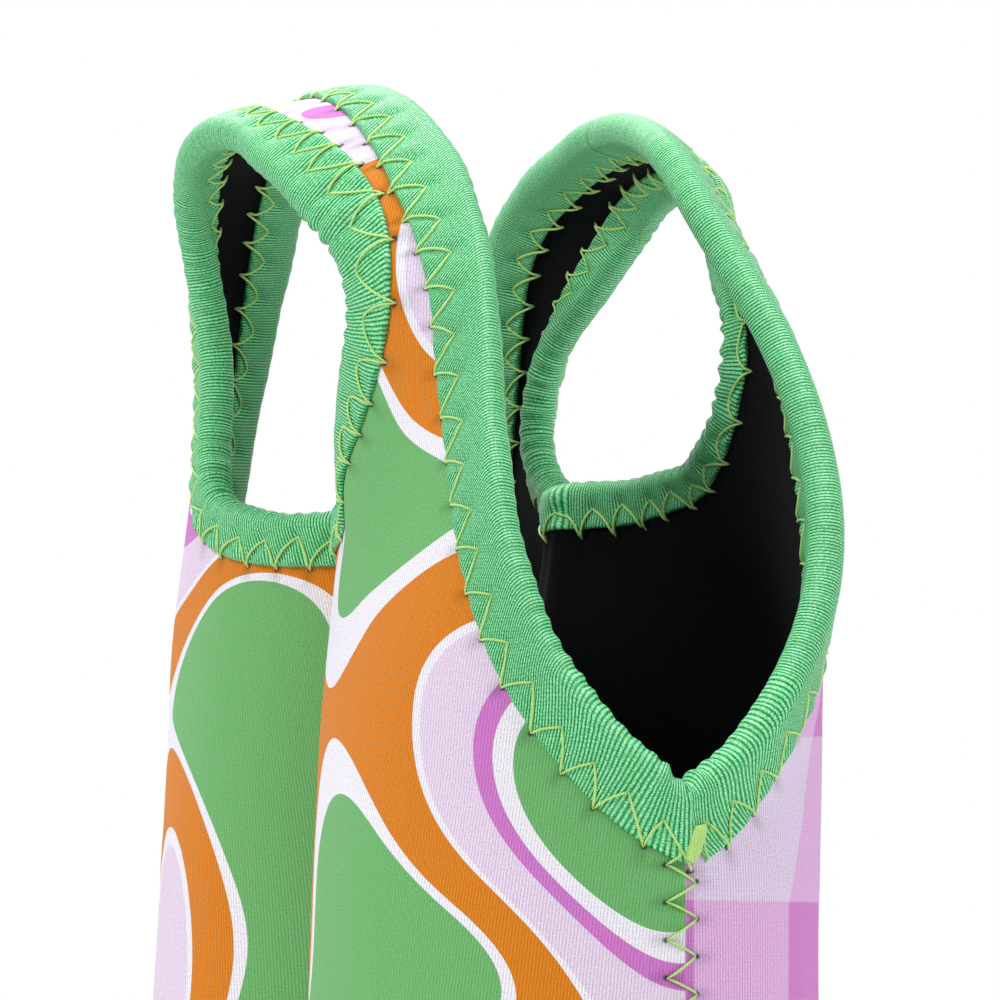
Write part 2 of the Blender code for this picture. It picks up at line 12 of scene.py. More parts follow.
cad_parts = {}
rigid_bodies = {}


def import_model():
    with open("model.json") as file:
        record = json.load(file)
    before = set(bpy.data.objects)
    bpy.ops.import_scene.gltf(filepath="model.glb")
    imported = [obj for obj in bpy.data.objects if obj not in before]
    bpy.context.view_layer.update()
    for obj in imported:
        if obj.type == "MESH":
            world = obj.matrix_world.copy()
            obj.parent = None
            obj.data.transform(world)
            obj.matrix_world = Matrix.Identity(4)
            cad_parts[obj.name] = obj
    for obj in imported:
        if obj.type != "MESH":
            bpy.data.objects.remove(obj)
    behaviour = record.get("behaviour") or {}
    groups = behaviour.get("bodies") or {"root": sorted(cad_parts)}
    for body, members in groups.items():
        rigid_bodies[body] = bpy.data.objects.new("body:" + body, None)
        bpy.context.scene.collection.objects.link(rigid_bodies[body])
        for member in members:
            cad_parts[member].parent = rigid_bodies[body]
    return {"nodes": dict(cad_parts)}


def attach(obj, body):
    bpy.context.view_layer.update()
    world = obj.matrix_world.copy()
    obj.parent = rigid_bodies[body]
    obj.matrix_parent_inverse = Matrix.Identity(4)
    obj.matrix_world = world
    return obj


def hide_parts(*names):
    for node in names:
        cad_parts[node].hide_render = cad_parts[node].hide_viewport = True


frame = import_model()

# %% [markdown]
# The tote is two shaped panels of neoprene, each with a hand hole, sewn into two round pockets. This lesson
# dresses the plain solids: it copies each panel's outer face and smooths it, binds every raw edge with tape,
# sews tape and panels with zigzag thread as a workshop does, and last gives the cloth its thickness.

MM = 0.001
NEOPRENE = 3.0 * MM
POCKET_AXIS = 0.043
POCKET_RADIUS = 0.041
PANEL_END = 0.0825
SEAM_TOP = 0.2350
MOUTH_TAPE = 8.2 * MM
HOLE_TAPE = 6.5 * MM
MOUTH_PITCH = 7.5 * MM
HOLE_PITCH = 6.2 * MM
THREAD_RADIUS = 0.22 * MM

for leftover in [o for o in bpy.data.objects if o.name in ("Cube", "Camera", "Light")]:
    bpy.data.objects.remove(leftover)
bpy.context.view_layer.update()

# %% [markdown]
# The camera stands level with the body, a little below the handles, and looks along the near end seam with
# both panels in view. A long lens keeps the two handles nearly the same size.

# %% Camera
AZIMUTH = math.radians(69)
TILT = math.radians(5)
DISTANCE, TO_LEFT, EYE_HEIGHT = 1.2, 10 * MM, 0.180
FOCAL_PIXELS, PICTURE_PIXELS, SENSOR = 7560, 1000, 36

back = Vector((math.sin(AZIMUTH), -math.cos(AZIMUTH), 0))
right = Vector((math.cos(AZIMUTH), math.sin(AZIMUTH), 0))
place = Vector((POCKET_AXIS, 0, EYE_HEIGHT)) + back * DISTANCE - right * TO_LEFT
bpy.ops.object.camera_add(location=place)
camera = bpy.context.object
look = -back * math.cos(TILT) + Vector((0, 0, math.sin(TILT)))
camera.rotation_euler = look.to_track_quat("-Z", "Y").to_euler()
camera.data.sensor_width = SENSOR
camera.data.lens = FOCAL_PIXELS * SENSOR / PICTURE_PIXELS
camera.data.clip_end = 50
bpy.context.scene.camera = camera
bpy.context.scene.view_settings.view_transform = "Standard"
print("camera at", [round(v, 3) for v in place])

# %% [markdown]
# A material here is a small network of nodes. One helper adds a node, sets its plain values and wires any
# socket that it is given. A Number stands for a socket and takes part in plain arithmetic, so that a network
# reads from top to bottom like a recipe.

# %% Node helpers
def wired(made, values):
    """Sets the plain values of a node's inputs, and wires the sockets among them."""
    for key, value in values.items():
        value = getattr(value, "socket", value)
        if isinstance(value, bpy.types.NodeSocket):
            made.id_data.links.new(value, made.inputs[key])
        else:
            made.inputs[key].default_value = value
    return made


def node(tree, kind, values=None, **settings):
    made = tree.nodes.new(kind)
    for key, value in settings.items():
        setattr(made, key, value)
    return wired(made, values or {})


def maths(operation, *values):
    tree = next(v.tree for v in values if isinstance(v, Number))
    return Number(node(tree, "ShaderNodeMath", dict(enumerate(values)), operation=operation).outputs[0])


class Number:
    """A number that a material works out at each point. Arithmetic on it adds the math nodes."""

    def __init__(self, socket):
        self.socket, self.tree = socket, socket.id_data

    def __add__(self, other):
        return maths("ADD", self, other)

    def __sub__(self, other):
        return maths("SUBTRACT", self, other)

    def __rsub__(self, other):
        return maths("SUBTRACT", other, self)

    def __mul__(self, other):
        return maths("MULTIPLY", self, other)

    def __pow__(self, other):
        return maths("POWER", self, other)

    def __abs__(self):
        return maths("ABSOLUTE", self)

    def scaled(self, factor, offset):
        """Times the factor, plus the offset."""
        return maths("MULTIPLY_ADD", self, factor, offset)


def wave(turns):
    """From 0 to 1 and back, once for each turn."""
    return maths("SINE", turns * (2 * math.pi)).scaled(0.5, 0.5)


def eased(value, low, high):
    """From 0 at the low value to 1 at the high one, with a soft start and end."""
    values = {"Value": value, "From Min": low, "From Max": high}
    return Number(node(value.tree, "ShaderNodeMapRange", values, interpolation_type="SMOOTHSTEP").outputs[0])


def noise(vector, scale, detail, distortion=0.0):
    values = {"Vector": vector, "Scale": scale, "Detail": detail, "Distortion": distortion}
    return Number(node(vector.id_data, "ShaderNodeTexNoise", values).outputs[0])


def vector_of(*parts):
    return node(parts[0].tree, "ShaderNodeCombineXYZ", dict(enumerate(parts))).outputs[0]


def parts_of(vector):
    """The first two parts of a vector, as numbers."""
    parts = node(vector.id_data, "ShaderNodeSeparateXYZ", {0: vector}).outputs
    return Number(parts[0]), Number(parts[1])


def map_parts(tree, name):
    """The two coordinates of one of the piece's own UV maps, in metres."""
    return parts_of(node(tree, "ShaderNodeUVMap", uv_map=name).outputs[0])


def blended(tree, share, first, second, kind="MIX"):
    values = {0: share, 6: first, 7: second}
    return node(tree, "ShaderNodeMix", values, data_type="RGBA", blend_type=kind).outputs[2]


def bumped(height, strength, distance):
    values = {"Height": height, "Strength": strength, "Distance": distance}
    return node(height.tree, "ShaderNodeBump", values).outputs[0]


def linear(red, green, blue):
    """A colour as a screen shows it, 0 to 255, turned into the linear values that shaders use."""
    shares = [v / 255 for v in (red, green, blue)]
    return tuple(v / 12.92 if v < 0.04045 else ((v + 0.055) / 1.055) ** 2.4 for v in shares) + (1,)


def new_material(name, roughness, sheen=0.0, specular=0.5):
    made = bpy.data.materials.new(name)
    made.use_nodes = True
    shader = made.node_tree.nodes["Principled BSDF"]
    wired(shader, {"Roughness": roughness, "Sheen Weight": sheen, "Specular IOR Level": specular})
    return made, made.node_tree, shader


# %% [markdown]
# The light is that of a white studio: soft lamps from the left, the right, above and behind, and an even
# white surround. The surround shows white to the camera and to reflections, and lights more gently.

# %% Studio
SURROUND_LIGHT = 0.32
LIT_POINT = Vector((0, 0, 0.2))

world = bpy.data.worlds.new("studio surround")
bpy.context.scene.world = world
world.use_nodes = True
rays = node(world.node_tree, "ShaderNodeLightPath").outputs
seen = maths("MAXIMUM", Number(rays["Is Camera Ray"]), rays["Is Glossy Ray"])
seen = maths("MAXIMUM", seen, rays["Is Transmission Ray"])
strength = seen.scaled(1 - SURROUND_LIGHT, SURROUND_LIGHT)
wired(world.node_tree.nodes["Background"], {"Strength": strength, "Color": (1, 1, 1, 1)})

bpy.ops.mesh.primitive_plane_add(size=6, location=(0, 0, -0.5 * MM))
floor = bpy.context.object
floor.name = "studio_floor"
made, tree, shader = new_material("pale floor", 0.8)
grain = node(tree, "ShaderNodeTexNoise", {"Scale": 9.0, "Detail": 3.0}).outputs[0]
wired(shader, {"Base Color": blended(tree, grain, linear(226, 226, 224), linear(234, 234, 232))})
floor.data.materials.append(made)


def lamp(name, side, behind, height, size, power):
    """A soft square lamp, placed by how far right of, behind and above the tote it stands from the camera."""
    spot = right * side - back * behind + Vector((0, 0, height))
    bpy.ops.object.light_add(type="AREA", location=spot)
    made = bpy.context.object
    made.name = name
    made.data.size = size
    made.data.energy = power
    made.rotation_euler = (LIT_POINT - spot).to_track_quat("-Z", "Y").to_euler()


lamp("key_lamp", -1.0, -0.6, 1.1, 0.6, 11.5)
lamp("fill_lamp", 1.2, -0.7, 0.6, 1.0, 7.5)
lamp("top_lamp", 0.0, 0.1, 1.5, 0.6, 14)
lamp("back_lamp", -0.3, 1.2, 1.2, 0.8, 4)
print("four lamps and a white surround")

# %% [markdown]
# The rest of the lesson leans on a few helpers. Some do what one does by hand in the window: select one
# object, run an edit on its whole mesh, apply a modifier. Others read and write a mesh's numbers at once.

# %% Mesh helpers
def only(obj):
    bpy.ops.object.select_all(action="DESELECT")
    obj.select_set(True)
    bpy.context.view_layer.objects.active = obj


def edited(obj, operator, **settings):
    """Runs one operator in edit mode, on the whole mesh."""
    only(obj)
    bpy.ops.object.mode_set(mode="EDIT")
    bpy.ops.mesh.select_all(action="SELECT")
    operator(**settings)
    bpy.ops.object.mode_set(mode="OBJECT")


def apply_modifier(obj, kind, **settings):
    only(obj)
    modifier = obj.modifiers.new(kind.title(), kind)
    for key, value in settings.items():
        setattr(modifier, key, value)
    bpy.ops.object.modifier_apply(modifier=modifier.name)


def stands_for(obj, node_name):
    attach(obj, "root")
    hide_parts(node_name)


def vertex_places(mesh):
    places = np.zeros(len(mesh.vertices) * 3)
    mesh.vertices.foreach_get("co", places)
    return places.reshape(-1, 3)


def corner_vertices(mesh):
    """Which vertex each corner of each face uses."""
    corner = np.zeros(len(mesh.loops), int)
    mesh.loops.foreach_get("vertex_index", corner)
    return corner


def read_map(mesh, name):
    flat = np.zeros(len(mesh.loops) * 2)
    mesh.uv_layers[name].data.foreach_get("uv", flat)
    return flat.reshape(-1, 2)


def write_map(mesh, name, values):
    """A UV map, from two values for each corner."""
    layer = mesh.uv_layers.get(name) or mesh.uv_layers.new(name=name)
    layer.data.foreach_set("uv", np.asarray(values, float).ravel())


def clear_maps(mesh):
    for layer in list(mesh.uv_layers):
        mesh.uv_layers.remove(layer)


def rim_edges(mesh):
    """The edges that only one face uses, each as a pair of vertices."""
    used = Counter(key for face in mesh.polygons for key in face.edge_keys)
    return [key for key, count in used.items() if count == 1]


# %% [markdown]
# Lines come up often too: how long a line of points is up to each of them, and the points at given lengths.

# %% Line helpers
def unit(vectors):
    """Scaled to a length of one."""
    return vectors / np.linalg.norm(vectors, axis=-1, keepdims=True)


def run_along(line):
    """How far along a line each of its points lies."""
    return np.concatenate([[0], np.cumsum(np.linalg.norm(np.diff(line, axis=0), axis=1))])


def points_at(at, run, line):
    return np.stack([np.interp(at, run, line[:, k]) for k in range(3)], axis=-1)


# %% [markdown]
# A neoprene panel is one flat cut of cloth, bent and stretched into shape. Its copy starts from the solid's
# outer face alone: the loose triangles are merged, a flood fill from one outer face stops at the sharp rim,
# and the rest is deleted. Triangles are then paired into four-sided faces, which smooth better.

# %% Outer face of a panel
RIM_ANGLE = 0.85
PAIR_ANGLE = math.radians(70)


def copy_of(name, source):
    obj = bpy.data.objects.new(name, frame["nodes"][source].data.copy())
    bpy.context.scene.collection.objects.link(obj)
    obj.data.materials.clear()
    edited(obj, bpy.ops.mesh.remove_doubles, threshold=0.01 * MM)
    return obj


def outer_face(name, source, side):
    obj = copy_of(name, source)
    shape = bmesh.new()
    shape.from_mesh(obj.data)
    shape.normal_update()
    middle = Vector((POCKET_AXIS, side * POCKET_RADIUS, 0.1))
    facing_out = [f for f in shape.faces if f.normal.y * side > 0.5]
    first = min(facing_out, key=lambda f: (f.calc_center_median() - middle).length)
    kept, ahead = {first}, [first]
    while ahead:
        for line in ahead.pop().edges:
            for other in line.link_faces:
                if other not in kept and line.calc_face_angle(9) < RIM_ANGLE:
                    kept.add(other)
                    ahead.append(other)
    bmesh.ops.delete(shape, geom=[f for f in shape.faces if f not in kept], context="FACES")
    shape.to_mesh(obj.data)
    shape.free()
    edited(obj, bpy.ops.mesh.tris_convert_to_quads, face_threshold=PAIR_ANGLE, shape_threshold=PAIR_ANGLE)
    return obj


front = outer_face("front_panel_cloth", "front_panel", -1)
rear = outer_face("back_panel_cloth", "back_panel", 1)
print("faces:", len(front.data.polygons), "in front,", len(rear.data.polygons), "at the back")

# %% [markdown]
# Full pockets bulge low down, and the handles are drawn in above them. The cages are pressed a little to
# follow. Each table below gives heights and the amounts there, in millimetres. Two spans of x, in
# millimetres too, bound a press on either side. Each goes from where the press is nothing to where it is full.

# %% Pressing the cages into shape
FAR_FLANK = (
    (205, 0.3), (217, -0.6), (234, -1.6), (250, -1.8), (262, 0.0),
    (275, 1.5), (285, 2.3), (313, 1.9), (331, 1.2), (346, 0),
)
NEAR_BULGE = (
    (190, 0.0), (205, -0.6), (221, -0.9), (237, -0.5), (253, 0.0),
    (266, 1.4), (276, 2.4), (290, 2.4), (310, 0.8), (325, 0),
)
BACK_FLANK = ((210, 0.0), (221, 0.2), (237, 1.0), (250, 1.6), (261, 1.3), (275, 0.6), (290, 0))
BACK_TOP = ((292, 0), (310, -0.7), (330, -1.6), (345, -2.3), (357, -2.6))
HOLE_LIFT = ((262, 0), (272, 0.5), (282, 1.3), (290, 0.6), (300, 0))
HOLE_TUCK = ((262, 0), (276, 0.9), (300, 0.9), (310, 0))
LEG_ROUND = (
    (256, 0), (268, -1.5), (278, -4.0), (288, -5.2),
    (295, -5.0), (302, -3.2), (309, -1.2), (316, 0),
)
LEG_BACK = (
    (250, 0), (264, -5.0), (274, -10.0), (284, -13.0),
    (294, -12.0), (302, -7.0), (309, -3.0), (317, 0),
)
SEAM_FREE = 0.245


def between(value, low, high):
    t = min(max((value - low) / (high - low), 0), 1)
    return t * t * (3 - 2 * t)


def pressed(cloth, way, heights, span, other_span=None, free_above=1.0):
    """Moves the cloth one way. The other span holds only up to a height, above which the seam has ended."""
    z, moves = np.array(heights).T * MM
    for v in cloth.data.vertices:
        share = between(v.co.x, span[0] * MM, span[1] * MM)
        if other_span and v.co.z <= free_above:
            share *= between(v.co.x, other_span[0] * MM, other_span[1] * MM)
        if share > 0:
            v.co += Vector(way) * float(np.interp(v.co.z, z, moves)) * share


pressed(front, right, FAR_FLANK, (-15, -55), (-82, -70), free_above=SEAM_FREE)
pressed(front, right, NEAR_BULGE, (-12, 4), (72, 50))
pressed(rear, right, BACK_FLANK, (12, 30), (82, 70))
pressed(front, (0, 0, 1), HOLE_LIFT, (-30, 0), (40, 30))
pressed(front, right, LEG_ROUND, (30, 41), (70, 46))
pressed(front, right, HOLE_TUCK, (8, 28), (50, 38))
pressed(front, back, LEG_BACK, (-6, 30), (70, 46))
pressed(rear, right, BACK_TOP, (-30, 4))
print("pressed the cages eight times")

# %% [markdown]
# The two panels are brought together where they meet at the ends, so that no light shows through the seam,
# and the corners of each seam are marked to stay sharp. Two subdivisions then make the coarse cages as
# smooth as bent rubber is.

# %% Smoothing
SEAM_CLOSE = 0.14 * MM

for cloth, side in ((front, -1), (rear, 1)):
    mesh = cloth.data
    rim = {v for key in rim_edges(mesh) for v in key}
    corner = mesh.attributes.new("crease_vert", "FLOAT", "POINT")
    for end in (1, -1):
        seam = [mesh.vertices[i] for i in rim]
        seam = [v for v in seam if v.co.x * end > PANEL_END and v.co.z < SEAM_TOP + 0.2 * MM]
        for v in seam:
            v.co.y -= side * SEAM_CLOSE
        top = max(seam, key=lambda v: v.co.z)
        foot = min(seam, key=lambda v: (round(v.co.z, 4), side * v.co.y))
        corner.data[top.index].value = corner.data[foot.index].value = 1
        print(cloth.name, "seam corner at", np.round(np.array(top.co) / MM, 1))
    apply_modifier(cloth, "SUBSURF", levels=2, render_levels=2, boundary_smooth="PRESERVE_CORNERS")
    bpy.ops.object.shade_smooth()
    print(cloth.name, len(cloth.data.polygons), "faces")

# %% [markdown]
# The cloth's knit and print were made while it lay flat, so its pattern needs the flat cut. Unwrapping the
# bent panel gives nearly that cut back. The map is then scaled so that one unit is one metre of cloth, and
# turned so that its second axis runs up the pockets.

# %% Flat pattern
POCKET_HEIGHT = 0.17


def flat_pattern(obj):
    mesh = obj.data
    clear_maps(mesh)
    mesh.uv_layers.new(name="cut")
    edited(obj, bpy.ops.uv.unwrap, method="ANGLE_BASED", margin=0.0)
    corner, points = corner_vertices(mesh), vertex_places(mesh)
    at = np.zeros((len(points), 2))
    at[corner] = read_map(mesh, "cut")
    low = points[:, 2] < POCKET_HEIGHT
    lines = np.column_stack([at[low], np.ones(low.sum())])
    up = np.linalg.lstsq(lines, points[low, 2], rcond=None)[0][:2]
    scale, up = np.linalg.norm(up), unit(up)
    across = np.array([up[1], -up[0]])
    turned = np.column_stack([at @ across, at @ up]) * scale
    if np.corrcoef(turned[:, 0], points[:, 0])[0, 1] < 0:
        turned[:, 0] *= -1
    turned[:, 0] -= turned[np.argmin(np.abs(points[:, 0]) + points[:, 2]), 0]
    turned[:, 1] -= turned[low, 1].mean() - points[low, 2].mean()
    write_map(mesh, "cut", turned[corner])
    return np.ptp(turned, axis=0)


for cloth in (front, rear):
    print(cloth.name, "flat cut", np.round(flat_pattern(cloth) / MM, 0), "mm")

# %% [markdown]
# Tape and thread follow the panels' edges, so each edge gets a map of the cloth beside it. From points along
# the edge the code walks straight into the cloth in small steps and notes every place and the direction that
# faces outward there. Afterwards any place beside the edge is found by how far along and how far in it is.

# %% Edge maps
STATION = 1.5 * MM
REACH_STEP = 0.75 * MM
REACHES = 20
PROBE = 2 * MM
SMOOTHINGS = 3


class EdgeMap:
    def __init__(self, cloth, side, place, line):
        mesh = cloth.data
        self.side, self.closed = side, place == "hand_hole"
        self.points = vertex_places(mesh)
        self.normals = np.array([v.normal for v in mesh.vertices])
        mesh.calc_loop_triangles()
        self.triangles = [tuple(t.vertices) for t in mesh.loop_triangles]
        self.tree = BVHTree.FromPolygons(self.points.tolist(), self.triangles)
        line = self.points[line + line[:1] if self.closed else line]
        run = run_along(line)
        self.length = run[-1]
        self.count = round(self.length / STATION)
        line = points_at(np.linspace(0, self.length, self.count + 1), run, line)
        self.rows = line[:-1] if self.closed else line
        self.measure()

    def beside(self, i, step):
        """The row some steps further along than row i. An open edge stops at its ends."""
        count = len(self.rows)
        return (i + step) % count if self.closed else np.clip(i + step, 0, count - 1)

    def at(self, place):
        """The nearest place on the cloth, and the direction that faces outward there."""
        found, _, index, _ = self.tree.find_nearest(Vector(place))
        p = np.array(found)
        a, b, c = self.triangles[index]
        edges = np.array([self.points[b] - self.points[a], self.points[c] - self.points[a]])
        gram = edges @ edges.T
        u, v = np.linalg.solve(gram + np.eye(2) * 1e-16, edges @ (p - self.points[a]))
        return p, unit((1 - u - v) * self.normals[a] + u * self.normals[b] + v * self.normals[c])

    def inward_at(self, i):
        """The way from the edge into the cloth: of the two ways across the edge, the one with cloth near."""
        p = self.rows[i]
        ahead = self.rows[self.beside(i, 1)] - self.rows[self.beside(i, -1)]
        inward = unit(np.cross(self.at(p)[1], ahead))
        probes = [p + s * inward * PROBE for s in (1, -1)]
        gaps = [np.linalg.norm(self.at(probe)[0] - probe) for probe in probes]
        return inward if gaps[0] < gaps[1] else -inward

    def walk(self, p, heading):
        """Places and outward directions at equal steps from the edge into the cloth."""
        p, n = self.at(p)
        steps = [(p, n)]
        for _ in range(REACHES - 1):
            q, n = self.at(p + heading * REACH_STEP)
            if np.linalg.norm(q - p) > 0.3 * REACH_STEP:
                heading = unit(q - p)
            p = q
            steps.append((p, n))
        return steps

    def measure(self):
        rows, last = self.rows, len(self.rows) - 1
        inwards = np.array([self.inward_at(i) for i in range(len(rows))])
        for _ in range(SMOOTHINGS):
            around = np.roll(inwards, 1, axis=0) + np.roll(inwards, -1, axis=0) + inwards
            if not self.closed:
                around[0], around[-1] = inwards[0], inwards[-1]
            inwards = unit(around)
        if not self.closed:
            # Toward the ends of the mouth the way in turns straight down, along the end seam.
            for i in range(len(rows)):
                near = min(i, last - i) * self.length / self.count
                straight = max(0, 1 - near / MOUTH_TAPE)
                inwards[i] = unit(inwards[i] * (1 - straight) + np.array([0, 0, -straight]))
        walks = np.array([self.walk(p, inward) for p, inward in zip(rows, inwards)])
        self.places, self.facing, self.inwards = walks[:, :, 0], walks[:, :, 1], inwards
        # Past its ends an open edge goes on level.
        self.ways = []
        for here, first, second in ((0, 0, 4), (last, last - 4, last)):
            way = np.cross(self.facing[here, 0], (0, 0, 1))
            self.ways.append(unit(way * np.sign(np.dot(way, rows[second] - rows[first]))))

    def lay(self, along, reach, height):
        """Places at those distances along the edge, in from it and out from the cloth. A reach below zero is
        beyond the edge."""
        i = np.asarray(along) / self.length * self.count
        inside = i % self.count if self.closed else np.clip(i, 0, self.count)
        low = np.minimum(np.floor(inside).astype(int), self.count - 1)
        high = (low + 1) % len(self.rows)
        r = np.clip(np.asarray(reach) / REACH_STEP, 0, REACHES - 1.001)
        j = np.floor(r).astype(int)
        s, t = (inside - low)[..., None], (r - j)[..., None]

        def mixed(grid):
            near = grid[low, j] * (1 - t) + grid[low, j + 1] * t
            far = grid[high, j] * (1 - t) + grid[high, j + 1] * t
            return near * (1 - s) + far * s

        p, n = mixed(self.places), unit(mixed(self.facing))
        inward = self.inwards[low] * (1 - s) + self.inwards[high] * s
        beyond = np.minimum(np.asarray(reach), 0)[..., None]
        if not self.closed:
            past = ((i - inside) * self.length / self.count)[..., None]
            p = p + np.where(past < 0, *self.ways) * past
        return p + inward * beyond + n * np.asarray(height)[..., None]


# %% [markdown]
# The panel's rim is found as loops of edges that one face alone uses. The longest is the outline, and its
# upper part, from one end seam to the other, is the mouth. The next is the hand hole.

# %% Finding the edges
def edge_loops(mesh):
    """The panel's edges as ordered lists of vertices, the longest first."""
    nearby = {}
    for a, b in rim_edges(mesh):
        nearby.setdefault(a, []).append(b)
        nearby.setdefault(b, []).append(a)
    loops = []
    while nearby:
        loop = [next(iter(nearby))]
        ahead = nearby[loop[0]][0]
        while ahead != loop[0]:
            loop.append(ahead)
            ahead = next(v for v in nearby[ahead] if v != loop[-2])
        for v in loop:
            nearby.pop(v)
        loops.append(loop)
    return sorted(loops, key=len, reverse=True)


def edges_of(cloth):
    """The mouth's edge from the near seam to the far one, and the hand hole's edge."""
    mesh = cloth.data
    outer, hole = edge_loops(mesh)[:2]
    x, _, z = vertex_places(mesh)[outer].T
    count = len(outer)
    on_seam = [i for i in range(count) if z[i] < SEAM_TOP + 0.2 * MM]
    near, far = (max((i for i in on_seam if x[i] * end > 0.08), key=lambda i: z[i]) for end in (1, -1))
    ways = [[(near + k * step) % count for k in range((step * (far - near)) % count + 1)] for step in (1, -1)]
    way = max(ways, key=lambda w: z[w].mean())
    return [outer[i] for i in way], hole


maps = {}
for cloth, side in ((front, "front"), (rear, "back")):
    for place, line in zip(("mouth", "hand_hole"), edges_of(cloth)):
        maps[side, place] = EdgeMap(cloth, side, place, line)
        print(side, place, "edge", round(maps[side, place].length / MM), "mm")

# %% [markdown]
# A zigzag seam holds the tape. Its needle goes in twice for each stitch: once just past the tape, in the
# cloth, and once in the middle of the tape. The same holes serve both faces. Stitches crowd together toward
# the ends of the mouth. A seam is never quite even, so each point is moved a little, always by the same
# seeded amounts.

# %% Stitch plans
PAST_TAPE = 0.7 * MM
STITCH_DEPTH = 5.0 * MM
LEAN_SHARES = {"mouth": 0.72, "hand_hole": 0.34}
OUTER_DRIFT, LEAN_DRIFT, DEPTH_DRIFT = 0.16 * MM, 0.22 * MM, 0.25 * MM
END_CROWDING, END_REACH = 0.45, 13 * MM
FAR = 1.0


class Stitches:
    def __init__(self, edge, width, pitch, lean_share, seed):
        self.edge, self.width = edge, width
        self.count = round(edge.length / pitch) + (0 if edge.closed else 2)
        points = self.count + 3
        chance = np.random.default_rng(seed)
        pitch = edge.length / self.count
        even = np.arange(points) * pitch
        if not edge.closed:
            to_end = np.minimum(even, np.abs(edge.length - even)) + pitch / 2
            gaps = 1 - END_CROWDING * np.exp(-((to_end / END_REACH) ** 2))
            runs = np.concatenate([[0], np.cumsum(gaps)[:-1]])
            even = runs * edge.length / runs[self.count]
        self.outer_x = even + chance.normal(0, OUTER_DRIFT, points)
        self.outer_r = width + PAST_TAPE + chance.normal(0, OUTER_DRIFT, points)
        self.inner_x = self.outer_x + (lean_share * np.gradient(even) + chance.normal(0, LEAN_DRIFT, points))
        self.inner_r = self.outer_r - STITCH_DEPTH - chance.normal(0, DEPTH_DRIFT, points)
        if edge.closed:
            for values in (self.outer_x, self.inner_x):
                values[self.count :] = values[:3] + edge.length
            for values in (self.outer_r, self.inner_r):
                values[self.count :] = values[:3]

    def stitch(self, i):
        """The outer and the inner point of a stitch, each as a place along and a place in from the edge."""
        turns = np.floor_divide(i, self.count) if self.edge.closed else 0
        shift = turns * self.edge.length
        i = np.clip(i - turns * self.count, 0, self.count + 1)
        return (self.outer_x[i] + shift, self.outer_r[i]), (self.inner_x[i] + shift, self.inner_r[i])

    def index(self, along):
        """How many stitches lie before a place along the edge, with its share of the next one."""
        return np.interp(along, self.outer_x[: self.count + 1], np.arange(self.count + 1.0))

    def distances(self, along, reach):
        """How far each place is from the nearest thread, and from the nearest needle hole in the tape."""
        along = along % self.edge.length if self.edge.closed else along
        first = self.index(along).astype(int)
        to_thread = to_hole = np.full(along.shape, FAR)
        for step in (-1, 0, 1):
            outer, inner = self.stitch(first + step)
            for (ax, ar), (bx, br) in ((outer, inner), (inner, self.stitch(first + step + 1)[0])):
                dx, dr = bx - ax, br - ar
                t = np.clip(((along - ax) * dx + (reach - ar) * dr) / (dx**2 + dr**2), 0, 1)
                to_thread = np.minimum(to_thread, np.hypot(along - ax - t * dx, reach - ar - t * dr))
            to_hole = np.minimum(to_hole, np.hypot(along - inner[0], reach - inner[1]))
        return to_thread, to_hole


plans = {}
for seed, ((side, place), edge) in enumerate(maps.items()):
    wide, pitch = (MOUTH_TAPE, MOUTH_PITCH) if place == "mouth" else (HOLE_TAPE, HOLE_PITCH)
    plans[side, place] = Stitches(edge, wide, pitch, LEAN_SHARES[place], seed)
    print(side, place, plans[side, place].count, "stitches")

# %% [markdown]
# The tape is a soft ribbed strip that is folded over the raw edge. Between the threads it puffs up, and at
# the needle holes it dimples. It spreads wider in the V of the mouth and up the near leg of a handle.

# %% How the tape puffs and spreads
TAPE_LIFT = 0.70 * MM
PUFF, PUFF_REACH = 0.75 * MM, 1.25 * MM
DIMPLE, DIMPLE_REACH = 0.25 * MM, 0.8 * MM
NEAR_HOLE_TAPE = {
    "front": ((262, 0), (285, -0.12), (300, 0.30), (316, 0.55), (335, 0.50), (350, 0.10)),
    "back": ((262, 0), (285, -0.10), (303, -0.35), (320, -0.30), (335, -0.15), (350, 0)),
}
NEAR_STRAP_TAPE = ((316, 0), (329, 0.12), (337, 0.26), (346, 0.22), (356, 0.10))
V_SPREAD = {"front": (0.16, 20 * MM), "back": (0.24, 9 * MM)}


def puffed(plan, along, reach):
    """How high the tape's face stands over the cloth, between and at its stitches."""
    to_thread, to_hole = plan.distances(along, reach)
    calm = np.clip(1.15 - reach / plan.width * 0.35, 0, 1)
    high = TAPE_LIFT + PUFF * calm * (1 - np.exp(-((to_thread / PUFF_REACH) ** 1.6)))
    return high - DIMPLE * np.exp(-((to_hole / DIMPLE_REACH) ** 2))


def edge_xz(edge, along):
    """Where those places along the edge are, from left to right and in height."""
    stations = np.linspace(0, edge.length, len(edge.rows))
    return [np.interp(along, stations, edge.rows[:, k]) for k in (0, 2)]


def to_ends(edge, along):
    return np.minimum(along, edge.length - along)


def widening(edge, along):
    """How much wider than usual a tape spreads: toward its ends in the V, and up the near leg of a handle."""
    x, z = edge_xz(edge, along)
    if edge.closed:
        heights, shares = np.array(NEAR_HOLE_TAPE[edge.side]).T
        return 1 + np.clip((x - 10 * MM) / (12 * MM), 0, 1) * np.interp(z / MM, heights, shares)
    most, length = V_SPREAD[edge.side]
    wider = 1 + most * np.exp(-((to_ends(edge, along) / length) ** 2))
    if edge.side == "front":
        heights, shares = np.array(NEAR_STRAP_TAPE).T
        wider = wider + np.clip(x / (10 * MM), 0, 1) * np.interp(z / MM, heights, shares, left=0)
    return wider


